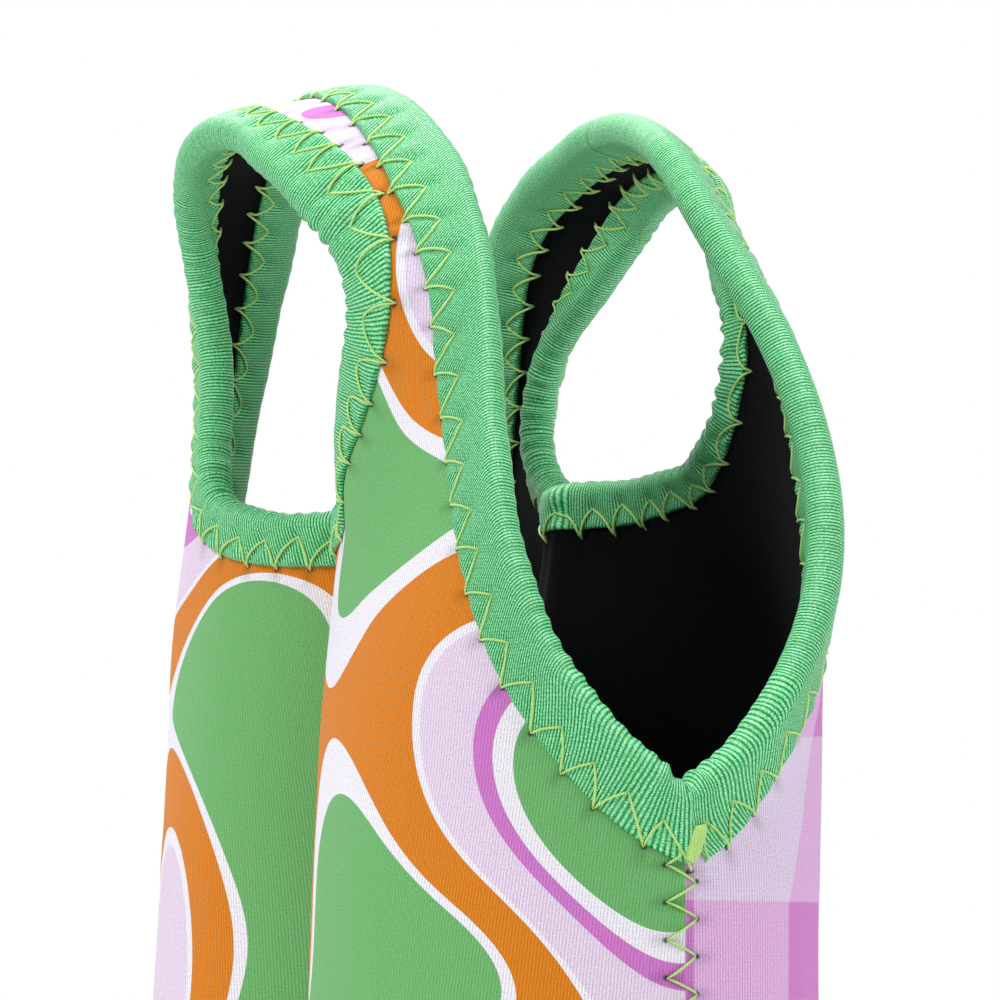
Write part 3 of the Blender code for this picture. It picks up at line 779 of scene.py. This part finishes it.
def ended(edge, along, share):
    """The front tape's ends run a little past the seam, and the back tape's ends stop short of it."""
    if edge.closed:
        return along
    for start, sign in ((0, 1), (edge.length, -1)):
        to_end = (along - start) * sign
        if edge.side == "front":
            along = along - sign * 1.0 * MM * np.exp(-to_end / (3 * MM))
        else:
            short = (-0.6 + 3.2 * np.clip(share, 0, 1) ** 2) * MM
            along = along + sign * short * np.exp(-to_end / (5 * MM))
    return along


# %% [markdown]
# Where a tight curve crowds the tape on its fold, it gathers. One bulge comes for each stitch, with smaller
# creases between and a slow sway over both, so that no two gathers are the same.

# %% How the tape gathers
CURVE_STEP = 4
CURVE_FULL = 60
PLEAT = 3.1 * MM
PLEATED_HEIGHT, PLEATED_SPAN = 0.322, 9 * MM
SWAY = 0.05


def crowding(edge, along):
    """Where an edge curves tightly round the fold, 0 to 1."""
    rows = edge.rows
    index = np.arange(len(rows))
    before, after = (rows[edge.beside(index, step)] for step in (-CURVE_STEP, CURVE_STEP))
    bend = ((before + after) / 2 - rows) / (CURVE_STEP * STATION) ** 2 * 2
    to_fold = -(bend * edge.inwards).sum(axis=1)
    padded = np.pad(to_fold, 3, mode="wrap" if edge.closed else "edge")
    tight = np.clip(np.convolve(padded, np.ones(7) / 7, "valid") / CURVE_FULL, 0, 1)
    if edge.closed:
        tight = np.append(tight, tight[0])
    return np.interp(along, np.linspace(0, edge.length, len(tight)), tight)


def bunching(edge, along):
    """Where the front hole's tape has been bunched into pleats, up the near leg: bulges and deep creases."""
    if edge.side == "back" or not edge.closed:
        return 0 * along
    x, z = edge_xz(edge, along)
    where = (x > 10 * MM) * np.exp(-(((z - PLEATED_HEIGHT) / PLEATED_SPAN) ** 2))
    pleats = np.abs(np.sin(np.pi * along / PLEAT + np.sin(along / (4 * MM)))) ** 0.7
    return where * (pleats - 0.65)


def gathers(plan, along, steps):
    """How far the fold stands out, as a share of usual, and how much the faces swell and slide along."""
    edge, share = plan.edge, along / plan.edge.length
    chance = np.random.default_rng(plan.count)
    turns = np.concatenate([[0], np.cumsum(chance.normal(0, SWAY, steps))])
    even = np.linspace(0, 1, steps + 1)
    sway = np.interp(share, even, turns - turns[-1] * even)
    crowd, pleats = crowding(edge, along), bunching(edge, along)
    stitch = 2 * np.pi * plan.count * share
    gather = 1 - np.abs(np.cos(stitch - 0.7 * np.pi + 2.0 * sway)) ** 1.6 * 2
    ripple = np.sin(2 * np.pi * round(plan.count * 0.37) * share + sway)
    creases = np.sin(2 * stitch + 3 * sway)
    fold = 1 + 0.07 * ripple + (0.03 + 0.15 * crowd) * gather + 0.07 * crowd * creases + 0.42 * pleats
    slide = 0.35 * MM * crowd * np.sin(stitch + 2.5 * sway + 1.2)
    return fold, 0.10 * crowd * gather, 0.55 * pleats, slide


# %% [markdown]
# The tape starts as a flat grid as long as the edge, and each of its points is laid where the fold carries
# it: down the outer face, round the edge and up the lining. A map on it keeps the flat strip's own lengths
# for the weave, whose ribs slant across the outer face and straighten over the fold.

# %% Tape
TAPE_CLOTH = 0.40 * MM
TAPE_STEP = 0.55 * MM
FOLD = 2.5 * MM
FOLD_RUN = math.pi * 2.4 * MM
SLANT_RUN = 0.35 * FOLD_RUN
LINING_SHARE = 0.86
RAW_LIFT, RAW_ROLL = 0.15 * MM, 0.5 * MM
RIB_SLOPES = {"mouth": 1.0, "hand_hole": 0.3}
FLAT_SHARES = (0.0, 0.02, 0.07, 0.15, 0.25, 0.37, 0.5, 0.62, 0.74, 0.86)
FOLD_STEPS = 10
SECTION = [("outer", s) for s in FLAT_SHARES]
SECTION += [("fold", k / FOLD_STEPS) for k in range(FOLD_STEPS + 1)]
SECTION += [("lining", 1 - s) for s in reversed(FLAT_SHARES)]


def flat_strip(name, steps):
    """A grid with its length in x and its width in y, both from 0 to 1."""
    bpy.ops.object.select_all(action="DESELECT")
    bpy.ops.mesh.primitive_grid_add(x_subdivisions=steps, y_subdivisions=len(SECTION) - 1, size=1)
    obj = bpy.context.object
    obj.name = obj.data.name = name
    return obj, vertex_places(obj.data)[:, :2] + 0.5


def weave_map(edge, slope, along, developed, wide):
    """Where each point lies on the flat strip, with the slant of the ribs taken out."""
    skew = slope * np.minimum(developed, wide + SLANT_RUN)
    bend = SLANT_RUN + 1 * MM
    skew -= slope * 0.5 * np.clip(developed - wide + 1 * MM, 0, bend) ** 2 / bend
    if not edge.closed:
        turned = np.clip((to_ends(edge, along) - 6 * MM) / (22 * MM), 0, 1)
        skew = skew * turned * np.sign(edge.length / 2 - along)
    return np.column_stack([along - skew, developed])


def face_outward(obj, edge):
    """Turns the faces round if the one on the fold at the start of the tape looks into the tape."""
    start, half = np.zeros(1), np.zeros(1) - NEOPRENE / 2
    middle, fold = (Vector(edge.lay(start, start - reach, half)[0]) for reach in (0, FOLD))
    probe = min(obj.data.polygons, key=lambda f: (fold - f.center).length)
    if probe.normal.dot(probe.center - middle) < 0:
        edited(obj, bpy.ops.mesh.flip_normals)


def tape(side, place):
    edge, plan = maps[side, place], plans[side, place]
    wide, half = plan.width, NEOPRENE / 2
    steps = round(edge.length / TAPE_STEP)
    obj, grid = flat_strip(f"{side}_{place}_tape", steps)
    mesh = obj.data
    along = grid[:, 0] * edge.length
    column = np.round(grid[:, 1] * (len(SECTION) - 1)).astype(int)
    zone, share = (np.array(part)[column] for part in zip(*SECTION))
    outer, fold, lining = (zone == name for name in ("outer", "fold", "lining"))

    across = np.select([outer, lining], [wide * (1 - share), wide * share * LINING_SHARE], 0)
    high = puffed(plan, along, across)
    to_raw = np.where(lining, wide * LINING_SHARE, wide) - across
    roll = np.clip(np.where(fold, 1, to_raw / RAW_ROLL), 0, 1)
    rise = RAW_LIFT + (high - RAW_LIFT) * np.sqrt(roll * (2 - roll))
    fold_share, swell, pleat_swell, slide = gathers(plan, along, steps)
    swell = 1 + swell + pleat_swell * ~lining
    angle = np.pi * share
    height = np.select([outer, lining], [rise * swell, -NEOPRENE - rise * swell],
                       -half + (half + high * swell) * np.cos(angle))
    reach = np.where(fold, -FOLD * np.sin(angle) * fold_share, across * widening(edge, along))
    laid = ended(edge, along + slide * fold * np.sin(angle), np.where(outer, across / wide, 0))
    mesh.vertices.foreach_set("co", edge.lay(laid, reach, height).ravel())

    developed = np.select([outer, fold], [wide - across, wide + share * FOLD_RUN], wide + FOLD_RUN + across)
    clear_maps(mesh)
    weave = weave_map(edge, RIB_SLOPES[place], along, developed, wide)
    write_map(mesh, "weave", weave[corner_vertices(mesh)])
    if edge.closed:
        edited(obj, bpy.ops.mesh.remove_doubles, threshold=0.002 * MM)
    face_outward(obj, edge)
    apply_modifier(obj, "SOLIDIFY", thickness=TAPE_CLOTH, offset=-1, use_even_offset=False)
    only(obj)
    bpy.ops.object.shade_smooth()
    stands_for(obj, f"{side}_{place}_binding")
    print(obj.name, len(mesh.polygons), "faces")
    return obj


tapes = [tape(side, place) for place in ("mouth", "hand_hole") for side in ("front", "back")]

# %% [markdown]
# One tube follows all the legs of a seam. A tube is a ring of six points carried along the path, with a map
# along and round it, so that the twist of the two plies can follow the thread.

# %% Tubes
threads = []


def tube(name, paths, radius, sides=6):
    points, faces, uvs = [], [], []
    for path in paths:
        path = np.asarray(path, float)
        along = unit(np.gradient(path, axis=0))
        run = run_along(path)
        first = np.cross(along[0], (0.31, 0.52, 0.79))
        base = len(points)
        for p, t in zip(path, along):
            first = unit(first - t * np.dot(first, t))
            second = np.cross(t, first)
            for k in range(sides):
                a = 2 * math.pi * k / sides
                points.append(p + radius * (first * math.cos(a) + second * math.sin(a)))
        for i in range(len(path) - 1):
            here, there = base + i * sides, base + (i + 1) * sides
            for k in range(sides):
                n = (k + 1) % sides
                faces.append((here + k, here + n, there + n, there + k))
                u, v = k / sides, (k + 1) / sides
                uvs += [(run[i], u), (run[i], v), (run[i + 1], v), (run[i + 1], u)]
        last = base + (len(path) - 1) * sides
        for ring, order in ((base, -1), (last, 1)):
            faces.append(tuple(ring + k for k in range(sides))[::order])
            uvs += [(0, 0)] * sides
    mesh = bpy.data.meshes.new(name)
    mesh.from_pydata([tuple(p) for p in points], [], faces)
    write_map(mesh, "twist", uvs)
    mesh.shade_smooth()
    obj = bpy.data.objects.new(name, mesh)
    bpy.context.scene.collection.objects.link(obj)
    return obj


def sewn(name, paths, node_name, radius=THREAD_RADIUS):
    """One piece of thread, which takes the place of one solid."""
    thread = tube(name, paths, radius)
    stands_for(thread, node_name)
    threads.append(thread)
    print(name, len(thread.data.polygons), "faces")


# %% [markdown]
# The thread lies on the tape in short legs, a little bowed, and dives into the cloth at each needle hole.
# It does so on the lining as well, so that each piece of thread has two paths.

# %% Tape seams
LEG_POINTS = 9
HOLE_BOW, MOUTH_BOW = 0.10, 0.06
CLOTH_LIFT = 0.1 * MM
CLOTH_SINK, TAPE_SINK = 0.55 * MM, 0.20 * MM


def seam_path(plan, face):
    """The middle line of the thread on one face of an edge."""
    edge = plan.edge
    t = np.linspace(0, 1, LEG_POINTS)[:-1]
    needles = [point for i in range(plan.count + 1) for point in plan.stitch(i)][:-1]
    where = []
    for (px, pr), (qx, qr) in zip(needles, needles[1:]):
        dx, dr = qx - px, qr - pr
        bow = (HOLE_BOW if edge.closed else MOUTH_BOW) * np.sin(np.pi * t)
        where.append((px + dx * t + bow * dr, pr + dr * t - bow * dx, t))
    x, r, t = np.concatenate(where, axis=1)
    surface = puffed(plan, x, np.minimum(r, plan.width))
    past = np.clip((r - plan.width + 0.3 * MM) / (0.7 * MM), 0, 1)
    surface = surface * (1 - past) + CLOTH_LIFT * past
    sunk = np.exp(-((np.minimum(t, 1 - t) / 0.075) ** 2))
    sunk *= np.where(r > plan.width - 1 * MM, CLOTH_SINK, TAPE_SINK)
    height = surface + THREAD_RADIUS * 0.9 - sunk
    if face == "lining":
        height = -NEOPRENE - height
    return edge.lay(ended(edge, x, r / plan.width), r * widening(edge, x), height)


for (side, place), plan in plans.items():
    both = [seam_path(plan, face) for face in ("outer", "lining")]
    sewn(f"{side}_{place}_zigzag", both, f"{side}_{place}_stitching")

# %% [markdown]
# The two panels meet edge to edge down both ends, and a wide zigzag pulls them together there. Its points are
# set out by angle round the pocket and by height, and each is dropped on the cloth from outside. A narrow
# zigzag holds the panels together between the pockets.

# %% End seams and middle seams
ENDS = (("near", 1), ("far", -1))
SEAM_TURN = 0.004 / 0.0395
END_STEP = 2.9 * MM
END_WIDTH = 4.9 * MM
END_TOP, END_FOOT = SEAM_TOP - 9.6 * MM, 6.0 * MM
END_COUNT = 2 * round((END_TOP - END_FOOT) / END_STEP / 2)
END_SHIFT = 0.4 * MM
END_LEAN = 0.16
MIDDLE_TOP, MIDDLE_FOOT, MIDDLE_WIDTH = 0.212, 0.045, 2.2 * MM
MIDDLE_COUNT = 2 * round((MIDDLE_TOP - MIDDLE_FOOT) / END_STEP / 2)


def on_pocket(end, turn, z, radius=POCKET_RADIUS):
    """A place round one end's pocket, by angle and height, and the direction that faces outward there."""
    way = np.array([end * math.cos(turn), math.sin(turn), 0])
    return np.array([end * POCKET_AXIS, 0, z]) + way * radius, way


def dropped(place, way):
    """The nearest place on either panel, with the direction that the thread faces there."""
    hits = [maps[side, "mouth"].tree.find_nearest(Vector(place)) for side in ("front", "back")]
    return np.array(min(hits, key=lambda h: h[3])[0]), np.asarray(way, float)


def zigzag_on(places, arch=0.0):
    """A thread through needle points that stand on the cloth: raised between them and sunk at them."""
    path = []
    for (p, n), (q, m) in zip(places, places[1:]):
        for t in np.linspace(0, 1, 7)[:-1]:
            sunk = math.exp(-((min(t, 1 - t) / 0.09) ** 2))
            lift = THREAD_RADIUS + 0.1 * MM - sunk * 0.4 * MM + arch * math.sin(math.pi * t)
            path.append(p * (1 - t) + q * t + (n * (1 - t) + m * t) * lift)
    path.append(places[-1][0])
    return path


for name, end in ENDS:
    chance = np.random.default_rng(5 + end)
    places = [dropped(*on_pocket(end, SEAM_TURN, END_TOP + 2.2 * MM))]
    for i in range(END_COUNT + 1):
        swing = 1 if i % 2 else -1
        share = (i - END_LEAN * (swing > 0)) / END_COUNT
        z = END_TOP + (END_FOOT - END_TOP) * share + chance.normal(0, 0.12 * MM)
        round_by = swing * (END_WIDTH / 2 + chance.normal(0, 0.15 * MM)) - END_SHIFT
        places.append(dropped(*on_pocket(end, SEAM_TURN + round_by / POCKET_RADIUS, z)))
    sewn(f"{name}_end_zigzag", [zigzag_on(places, arch=0.5 * MM)], f"{name}_end_seam_thread")

for side, way in (("front", -1), ("back", 1)):
    places = []
    for i in range(MIDDLE_COUNT + 1):
        z = MIDDLE_TOP + (MIDDLE_FOOT - MIDDLE_TOP) * i / MIDDLE_COUNT
        x = (1 if i % 2 else -1) * MIDDLE_WIDTH / 2
        places.append(dropped((x, way * 3 * MM, z), (0, way, 0)))
    sewn(f"{side}_middle_zigzag", [zigzag_on(places)], f"{side}_divider_thread")

# %% [markdown]
# The base is one flat piece of the same foam, cut to the outline of the two pockets. Its copy of the solid is
# cleaned of its loose triangles and then bevelled, so that its rim is as soft as a cut edge of foam. A zigzag
# runs round it, half on the rim of the base and half on the panels.

# %% Base
SHARP = math.radians(50)
BASE_PITCH = 6.8 * MM
BASE_LOW, BASE_HIGH = 1.5 * MM, 4.8 * MM
WAIST = 20 * MM

base = copy_of("base_cloth", "base_panel")
edited(base, bpy.ops.mesh.dissolve_limited, angle_limit=math.radians(3))
rim = np.array([v.co for v in base.data.vertices if v.co.z > 1 * MM])
rim = rim[np.argsort(np.arctan2(rim[:, 1], rim[:, 0]))]
apply_modifier(base, "BEVEL", width=0.8 * MM, segments=3, limit_method="ANGLE", angle_limit=SHARP)
edited(base, bpy.ops.mesh.normals_make_consistent, inside=False)
bpy.ops.object.shade_smooth_by_angle(angle=SHARP)
stands_for(base, "base_panel")

ring = np.concatenate([rim, rim[:1]])
run = run_along(ring)
count = 2 * round(run[-1] / BASE_PITCH)
places = []
for i in range(count + 1):
    at = (i % count) * run[-1] / count
    p, ahead = points_at([at, (at + 1 * MM) % run[-1]], run, ring)
    way = unit(np.cross(ahead - p, (0, 0, 1)))
    outward = way[1] * p[1] if abs(p[0]) < WAIST else np.dot(way[:2], p[:2])
    p[2] = BASE_HIGH if i % 2 else BASE_LOW
    places.append((p, way if outward > 0 else -way))
sewn("base_zigzag", [zigzag_on(places)], "base_seam_thread")

# %% [markdown]
# A bartack is a short row of dense side-to-side stitches that stops a seam from opening. One thread goes back
# and forth across the two tapes' ends at the bottom of each mouth.

# %% Bartacks
TACK_TURN = math.radians(7.4)
TACK_HEIGHT = 0.2287
TACK_LIFT = 1.75 * MM
TACK_ROWS = 21
TACK_RADIUS = 0.72 * THREAD_RADIUS
TACK_LENGTH = 5.7 * MM

for name, end in ENDS:
    middle, out = on_pocket(end, TACK_TURN, TACK_HEIGHT, POCKET_RADIUS + TACK_LIFT)
    across = np.array([-end * math.sin(TACK_TURN), math.cos(TACK_TURN), 0])
    path = []
    for i in range(TACK_ROWS):
        up = (i + 0.5) / TACK_ROWS * 2 - 1
        wide = (1.25 + 0.22 * up - 0.45 * abs(up) ** 6) * MM
        for s in np.linspace(-1, 1, 9) * (1 if i % 2 else -1):
            lift = 0.55 * MM * (1 - s**2) - 0.7 * MM * abs(s) ** 8 - 0.4 * MM * up**8
            place = middle + across * (s * wide + 0.75 * MM * up) + out * lift
            path.append(place + np.array([0, 0, TACK_LENGTH / 2 * up + 0.22 * MM * s]))
    sewn(f"{name}_tack", [path], f"{name}_bartack", TACK_RADIUS)

# %% [markdown]
# The cloth puckers at the needle holes, and the material darkens it there with painted shade. For that, each
# point of it notes how it lies to the stitches beside it: how many stitches along it is, and how far in from
# the edge. The material reads both from a map.

# %% Notes for the puckers and their painted shade
BESIDE = 3 * MM
NO_SEAM = 1.0


def note_stitches(cloth, edge, plan, name):
    mesh = cloth.data
    grid = edge.places.reshape(-1, 3)
    tree = KDTree(len(grid))
    for i, p in enumerate(grid):
        tree.insert(p, i)
    tree.balance()
    step = edge.length / edge.count
    phase, reach = np.zeros(len(mesh.vertices)), np.full(len(mesh.vertices), NO_SEAM)
    for n, v in enumerate(mesh.vertices):
        _, index, gap = tree.find(v.co)
        if gap > BESIDE:
            continue
        i, j = divmod(index, REACHES)
        before, after = edge.beside(i, -1), edge.beside(i, 1)
        along = edge.places[after, j] - edge.places[before, j]
        size = np.dot(along, along)
        offset = np.array(v.co) - edge.places[i, j]
        spacing = step * (2 if before != i and after != i else 1)
        x = i * step + (np.dot(offset, along) / size * spacing if size > 1e-12 else 0)
        inward = unit(edge.places[i, min(j + 1, REACHES - 1)] - edge.places[i, max(j - 1, 0)])
        r = j * REACH_STEP + np.dot(offset, inward)
        phase[n] = plan.index(2 * x - ended(edge, x, r / plan.width))
        reach[n] = r / widening(edge, x)
    at = np.column_stack([phase, reach])[corner_vertices(mesh)]
    if edge.closed:
        # A face across the start of a hole counts on, instead of back to the first stitch.
        for face in mesh.polygons:
            own = slice(face.loop_start, face.loop_start + face.loop_total)
            if np.ptp(at[own, 0]) > plan.count / 2 and at[own, 1].max() < 0.5:
                at[own, 0] += plan.count * (at[own, 0] < plan.count / 2)
    write_map(mesh, name, at)


def note_end_seam(cloth, side):
    """The same for the end seams: how many stitches down, and how far round from the seam."""
    mesh = cloth.data
    x, y, z = vertex_places(mesh).T
    step = (END_TOP - END_FOOT) / END_COUNT
    phase = (END_TOP - z) / (2 * step) + (0.58 if side == "back" else 0)
    turn = np.arctan2(y, np.abs(x) - POCKET_AXIS)
    away = np.abs(POCKET_RADIUS * (turn - SEAM_TURN) + END_SHIFT)
    away = np.where((z > SEAM_TOP - 6 * MM) | (z < 2 * MM), NO_SEAM, away)
    write_map(mesh, "end", np.column_stack([phase, away])[corner_vertices(mesh)])


# %% [markdown]
# The panels get their thickness last: Solidify moves a second skin three millimetres inward, as the black
# lining, and closes the rim between them. Each skin and the rim have a material slot of their own.

# %% Panel thickness
areas = {}
for cloth, side, slot_name in ((front, "front", "printed_neoprene"), (rear, "back", "gingham_neoprene")):
    for place in ("mouth", "hand_hole"):
        note_stitches(cloth, maps[side, place], plans[side, place], place)
    note_end_seam(cloth, side)
    areas[side] = sum(face.area for face in cloth.data.polygons)
    for _ in range(3):
        cloth.data.materials.append(None)
    apply_modifier(
        cloth, "SOLIDIFY", thickness=NEOPRENE, offset=-1, use_rim=True,
        material_offset=1, material_offset_rim=2,
    )
    only(cloth)
    bpy.ops.object.shade_smooth_by_angle(angle=SHARP)
    stands_for(cloth, f"{side}_panel")
    print(cloth.name, round(areas[side] * 1e4), "square cm,", len(cloth.data.polygons), "faces")

# %% [markdown]
# Seen close, the face of the cloth is a fine jersey knit: columns of tiny V-shaped loops, each about half a
# millimetre wide. The columns give a faint vertical grain and the loops a fine relief, and a speckle gives the
# uneven tone of the yarn and of the ink in it. The colour is lighter on the loop tops and darker in the
# hollows between them, as painted light and shade. The knit is one helper, so that both printed faces and the
# lining share it.

# %% Knit
LOOP_WIDTH = 0.60 * MM
LOOP_HEIGHT = 0.55 * MM
ASIDE = 0.2 * MM
SEAMS = (
    ("mouth", MOUTH_TAPE + PAST_TAPE - ASIDE, MOUTH_PITCH),
    ("hand_hole", HOLE_TAPE + PAST_TAPE - ASIDE, HOLE_PITCH),
    ("end", END_WIDTH / 2 + ASIDE, 2 * END_STEP),
)


def knit(u, v):
    """Height of the loops and a speckle of the yarn, both from 0 to 1, and the flat cloth as a vector."""
    inside = maths("FRACT", u * (1 / LOOP_WIDTH))
    leg = abs(inside - 0.5) * 1.8
    loops = wave(v.scaled(1 / LOOP_HEIGHT, leg))
    height = loops.scaled(0.38, 0.62) * maths("SINE", inside * math.pi)
    flat = vector_of(u, v)
    return height, noise(flat, 2600.0, 2.0), flat


def needle_shade(tree, name, point, pitch):
    """Painted shade at the needle points of one seam: a small near-black spot of painted shade at each hole,
    and a faint painted shade along the crease there.
    """
    phase, reach = map_parts(tree, name)
    beside = reach.scaled(1 / MM, -point / MM)
    off = abs(maths("FRACT", phase + 0.5) - 0.5) * (pitch / MM)
    # Painted shade: a dark spot at each needle hole, and a faint streak of shade along the crease there.
    hole = maths("EXPONENT", (off**2 + beside**2) * -6.5)
    crease_shade = maths("EXPONENT", off**2 * -1.1)
    fade = eased(beside, 4.0, 0.2) * eased(beside, -3.5, -0.4)
    return maths("MAXIMUM", hole * 0.95, crease_shade * fade * 0.26)


def cloth_finish(name, colour_of):
    """Printed cloth. Its knit and its needle holes dent the face, and the colour is darkened in the hollows
    between the loops and at the needle holes as painted shade.
    """
    made, tree, shader = new_material(name, 0.82, sheen=0.12, specular=0.25)
    u, v = map_parts(tree, "cut")
    height, speckle, flat = knit(u, v)
    colour = colour_of(u, v, flat)
    mouth, hand_hole, end = (needle_shade(tree, *seam) for seam in SEAMS)
    needle_shade_and_dents = maths("MAXIMUM", maths("MAXIMUM", mouth, hand_hole), end)
    # Painted shade: the hollows between the loops and the needle holes darken the colour; the speckle is the
    # yarn's own uneven tone.
    ink_and_shade = height.scaled(0.44, speckle.scaled(0.68, 0.46)) * (1.0 - needle_shade_and_dents)
    colour = blended(tree, 1.0, colour, vector_of(ink_and_shade, ink_and_shade, ink_and_shade), "MULTIPLY")
    from_end = map_parts(tree, "end")[1] * (1 / MM)
    deep = maths("EXPONENT", from_end**2 * -0.35).scaled(0.5, needle_shade_and_dents)
    dent = {"Height": deep, "Strength": 1.0, "Distance": 1.1 * MM, "Normal": bumped(height, 0.5, 0.15 * MM)}
    dented = node(tree, "ShaderNodeBump", dent, invert=True).outputs[0]
    wired(shader, {"Sheen Roughness": 0.5, "Base Color": colour, "Normal": dented})
    return made


def ramp(value, stops, interpolation="LINEAR"):
    made = node(value.tree, "ShaderNodeValToRGB", {0: value})
    colours = made.color_ramp
    colours.interpolation = interpolation
    while len(colours.elements) > 1:
        colours.elements.remove(colours.elements[0])
    colours.elements[0].position, colours.elements[0].color = stops[0]
    for position, colour in stops[1:]:
        colours.elements.new(position).color = colour
    return made.outputs[0]


# %% [markdown]
# The front is printed with broad rolling bands in green, ochre, lilac and white. Soft noise over the flat
# cut gives a landscape of gentle hills, and the bands are its contour lines: every height has its colour,
# with a thin white line between two colours.

# %% Printed front
LEAF = linear(107, 176, 106)
OCHRE = linear(213, 124, 18)
PALE_LILAC = linear(226, 207, 231)
ORCHID = linear(203, 118, 198)
WHITE = linear(235, 232, 242)
BANDS = (
    (0.0, LEAF), (0.30, WHITE), (0.335, OCHRE), (0.50, WHITE),
    (0.52, PALE_LILAC), (0.68, ORCHID), (0.74, WHITE), (0.80, LEAF),
)


def rolling_bands(u, v, flat):
    hills = noise(flat, 13.0, 0.0, distortion=0.35)
    return ramp(maths("FRACT", v.scaled(0.9, hills) * 1.9), BANDS, "CONSTANT")


printed = cloth_finish("printed_jersey", rolling_bands)

# %% [markdown]
# The back is gingham: one set of stripes runs across and one up, both in the same pink, and where they cross
# the colour doubles. Three flat tones are enough to make the whole check.

# %% Gingham back
CHECK_ROUND, CHECK_UP = 22.4 * MM, 28.5 * MM
STRIPE_ROUND, STRIPE_UP = 88.2 * MM, 208.5 * MM
GINGHAM_TONES = (linear(222, 204, 231), linear(220, 174, 222), linear(207, 128, 202))


def stripe(value, start, size):
    turn = maths("FRACT", value.scaled(1 / (2 * size), -start / (2 * size)))
    return eased(abs(turn - 0.5), 0.246, 0.254)


def gingham(u, v, flat):
    pulled = maths("MAXIMUM", v - 222 * MM, 0.0) * eased(u, 122 * MM, 102 * MM)
    across = stripe(pulled.scaled(0.42, u), STRIPE_ROUND, CHECK_ROUND)
    both = across + stripe(v, STRIPE_UP, CHECK_UP)
    return ramp(both * 0.5, list(zip((0.0, 0.5, 1.0), GINGHAM_TONES)))


checked = cloth_finish("gingham_jersey", gingham)

# %% [markdown]
# The lining is the same knit in black, painted a little grey on the loop tops as a painted highlight where
# they catch the light, broken up by the yarn's random speckle. The cut rim of the foam is matt black, and
# hardly shows under the tape. The base wears the same black knit.

# %% Black knit and foam
def black_knit(name, has_cut):
    made, tree, shader = new_material(name, 0.95, sheen=0.03, specular=0.10)
    if has_cut:
        u, v = map_parts(tree, "cut")
    else:
        u, v = parts_of(node(tree, "ShaderNodeTexCoord").outputs["Object"])
    height, speckle, _ = knit(u, v)
    # Painted highlight: grey on the loop tops, mixed with the yarn's random speckle.
    colour = blended(tree, speckle * height, linear(4, 4, 6), linear(17, 17, 20))
    wired(shader, {"Base Color": colour, "Normal": bumped(height, 0.5, 0.12 * MM)})
    return made


lining = black_knit("black_knit_lining", True)
foam, tree, shader = new_material("cut_foam", 0.95, specular=0.1)
cells = node(tree, "ShaderNodeTexVoronoi", {"Scale": 4000.0}).outputs["Distance"]
wired(shader, {"Base Color": blended(tree, cells, linear(10, 10, 10), linear(30, 30, 30))})
base.data.materials.clear()
base.data.materials.append(black_knit("black_knit_base", False))
for cloth, face in ((front, printed), (rear, checked)):
    for i, finish in enumerate((face, lining, foam)):
        cloth.data.materials[i] = finish
print("materials:", [m.name for m in front.data.materials])

# %% [markdown]
# The binding is a shiny ribbed stretch tape. Each rib is a raised cord of two slanting plies across the tape.
# The light catches the tops of the ribs and leaves the grooves dark, so the colour follows the rib's height.

# %% Ribbed tape
RIB, PLY = 0.54 * MM, 0.38 * MM
DARK_GREEN = linear(2, 104, 44)
TAPE_GREEN = linear(56, 193, 107)
LIGHT_GREEN = linear(182, 249, 204)

tape_finish, tree, shader = new_material("ribbed_green_tape", 0.34, sheen=0.03, specular=0.40)
along, across = map_parts(tree, "weave")
flat = vector_of(along, across)
drift = noise(flat, 180.0, 1.0)
inside = maths("FRACT", drift.scaled(0.5, along * (1 / RIB)))
cord = maths("SINE", inside * math.pi) ** 0.8
height = cord * wave(across.scaled(1 / PLY, inside * 1.4)).scaled(0.20, 0.80)
fibres = noise(flat, 3600.0, 1.0)
shine = fibres.scaled(0.90, height.scaled(0.80, -0.36))
colour = ramp(shine, [(0.0, DARK_GREEN), (0.15, DARK_GREEN), (0.58, TAPE_GREEN), (0.95, LIGHT_GREEN)])
wired(shader, {"Sheen Roughness": 0.3, "Base Color": colour, "Normal": bumped(height, 0.8, 0.22 * MM)})
for piece in tapes:
    piece.data.materials.append(tape_finish)
print(tape_finish.name, "on", len(tapes), "tapes")

# %% [markdown]
# The thread is two plies of shiny lime polyester. A slanting wave along and round the tube makes the twist. It
# dents the tube, and it paints the grooves between the plies darker as painted shade and their crowns lighter
# as painted highlight.

# %% Lime thread
TWIST = 0.9 * MM

thread_finish, tree, shader = new_material("lime_thread_twist", 0.45, sheen=0.2)
along, turn = map_parts(tree, "twist")
ply = abs(maths("SINE", along.scaled(1 / TWIST, turn) * (2 * math.pi)))
# Painted shade in the grooves between the plies, and painted highlight on their crowns.
colour = blended(tree, ply, linear(147, 196, 91), linear(206, 243, 147))
wired(shader, {"Base Color": colour, "Normal": bumped(ply, 0.7, 0.08 * MM)})
for piece in threads:
    piece.data.materials.append(thread_finish)
print(thread_finish.name, "on", len(threads), "threads")

# %% Panel areas against their flat cuts
for cloth, side in ((front, "front"), (rear, "back")):
    wide, tall = np.ptp(read_map(cloth.data, "cut"), axis=0)
    float(min(areas[side], wide * tall))
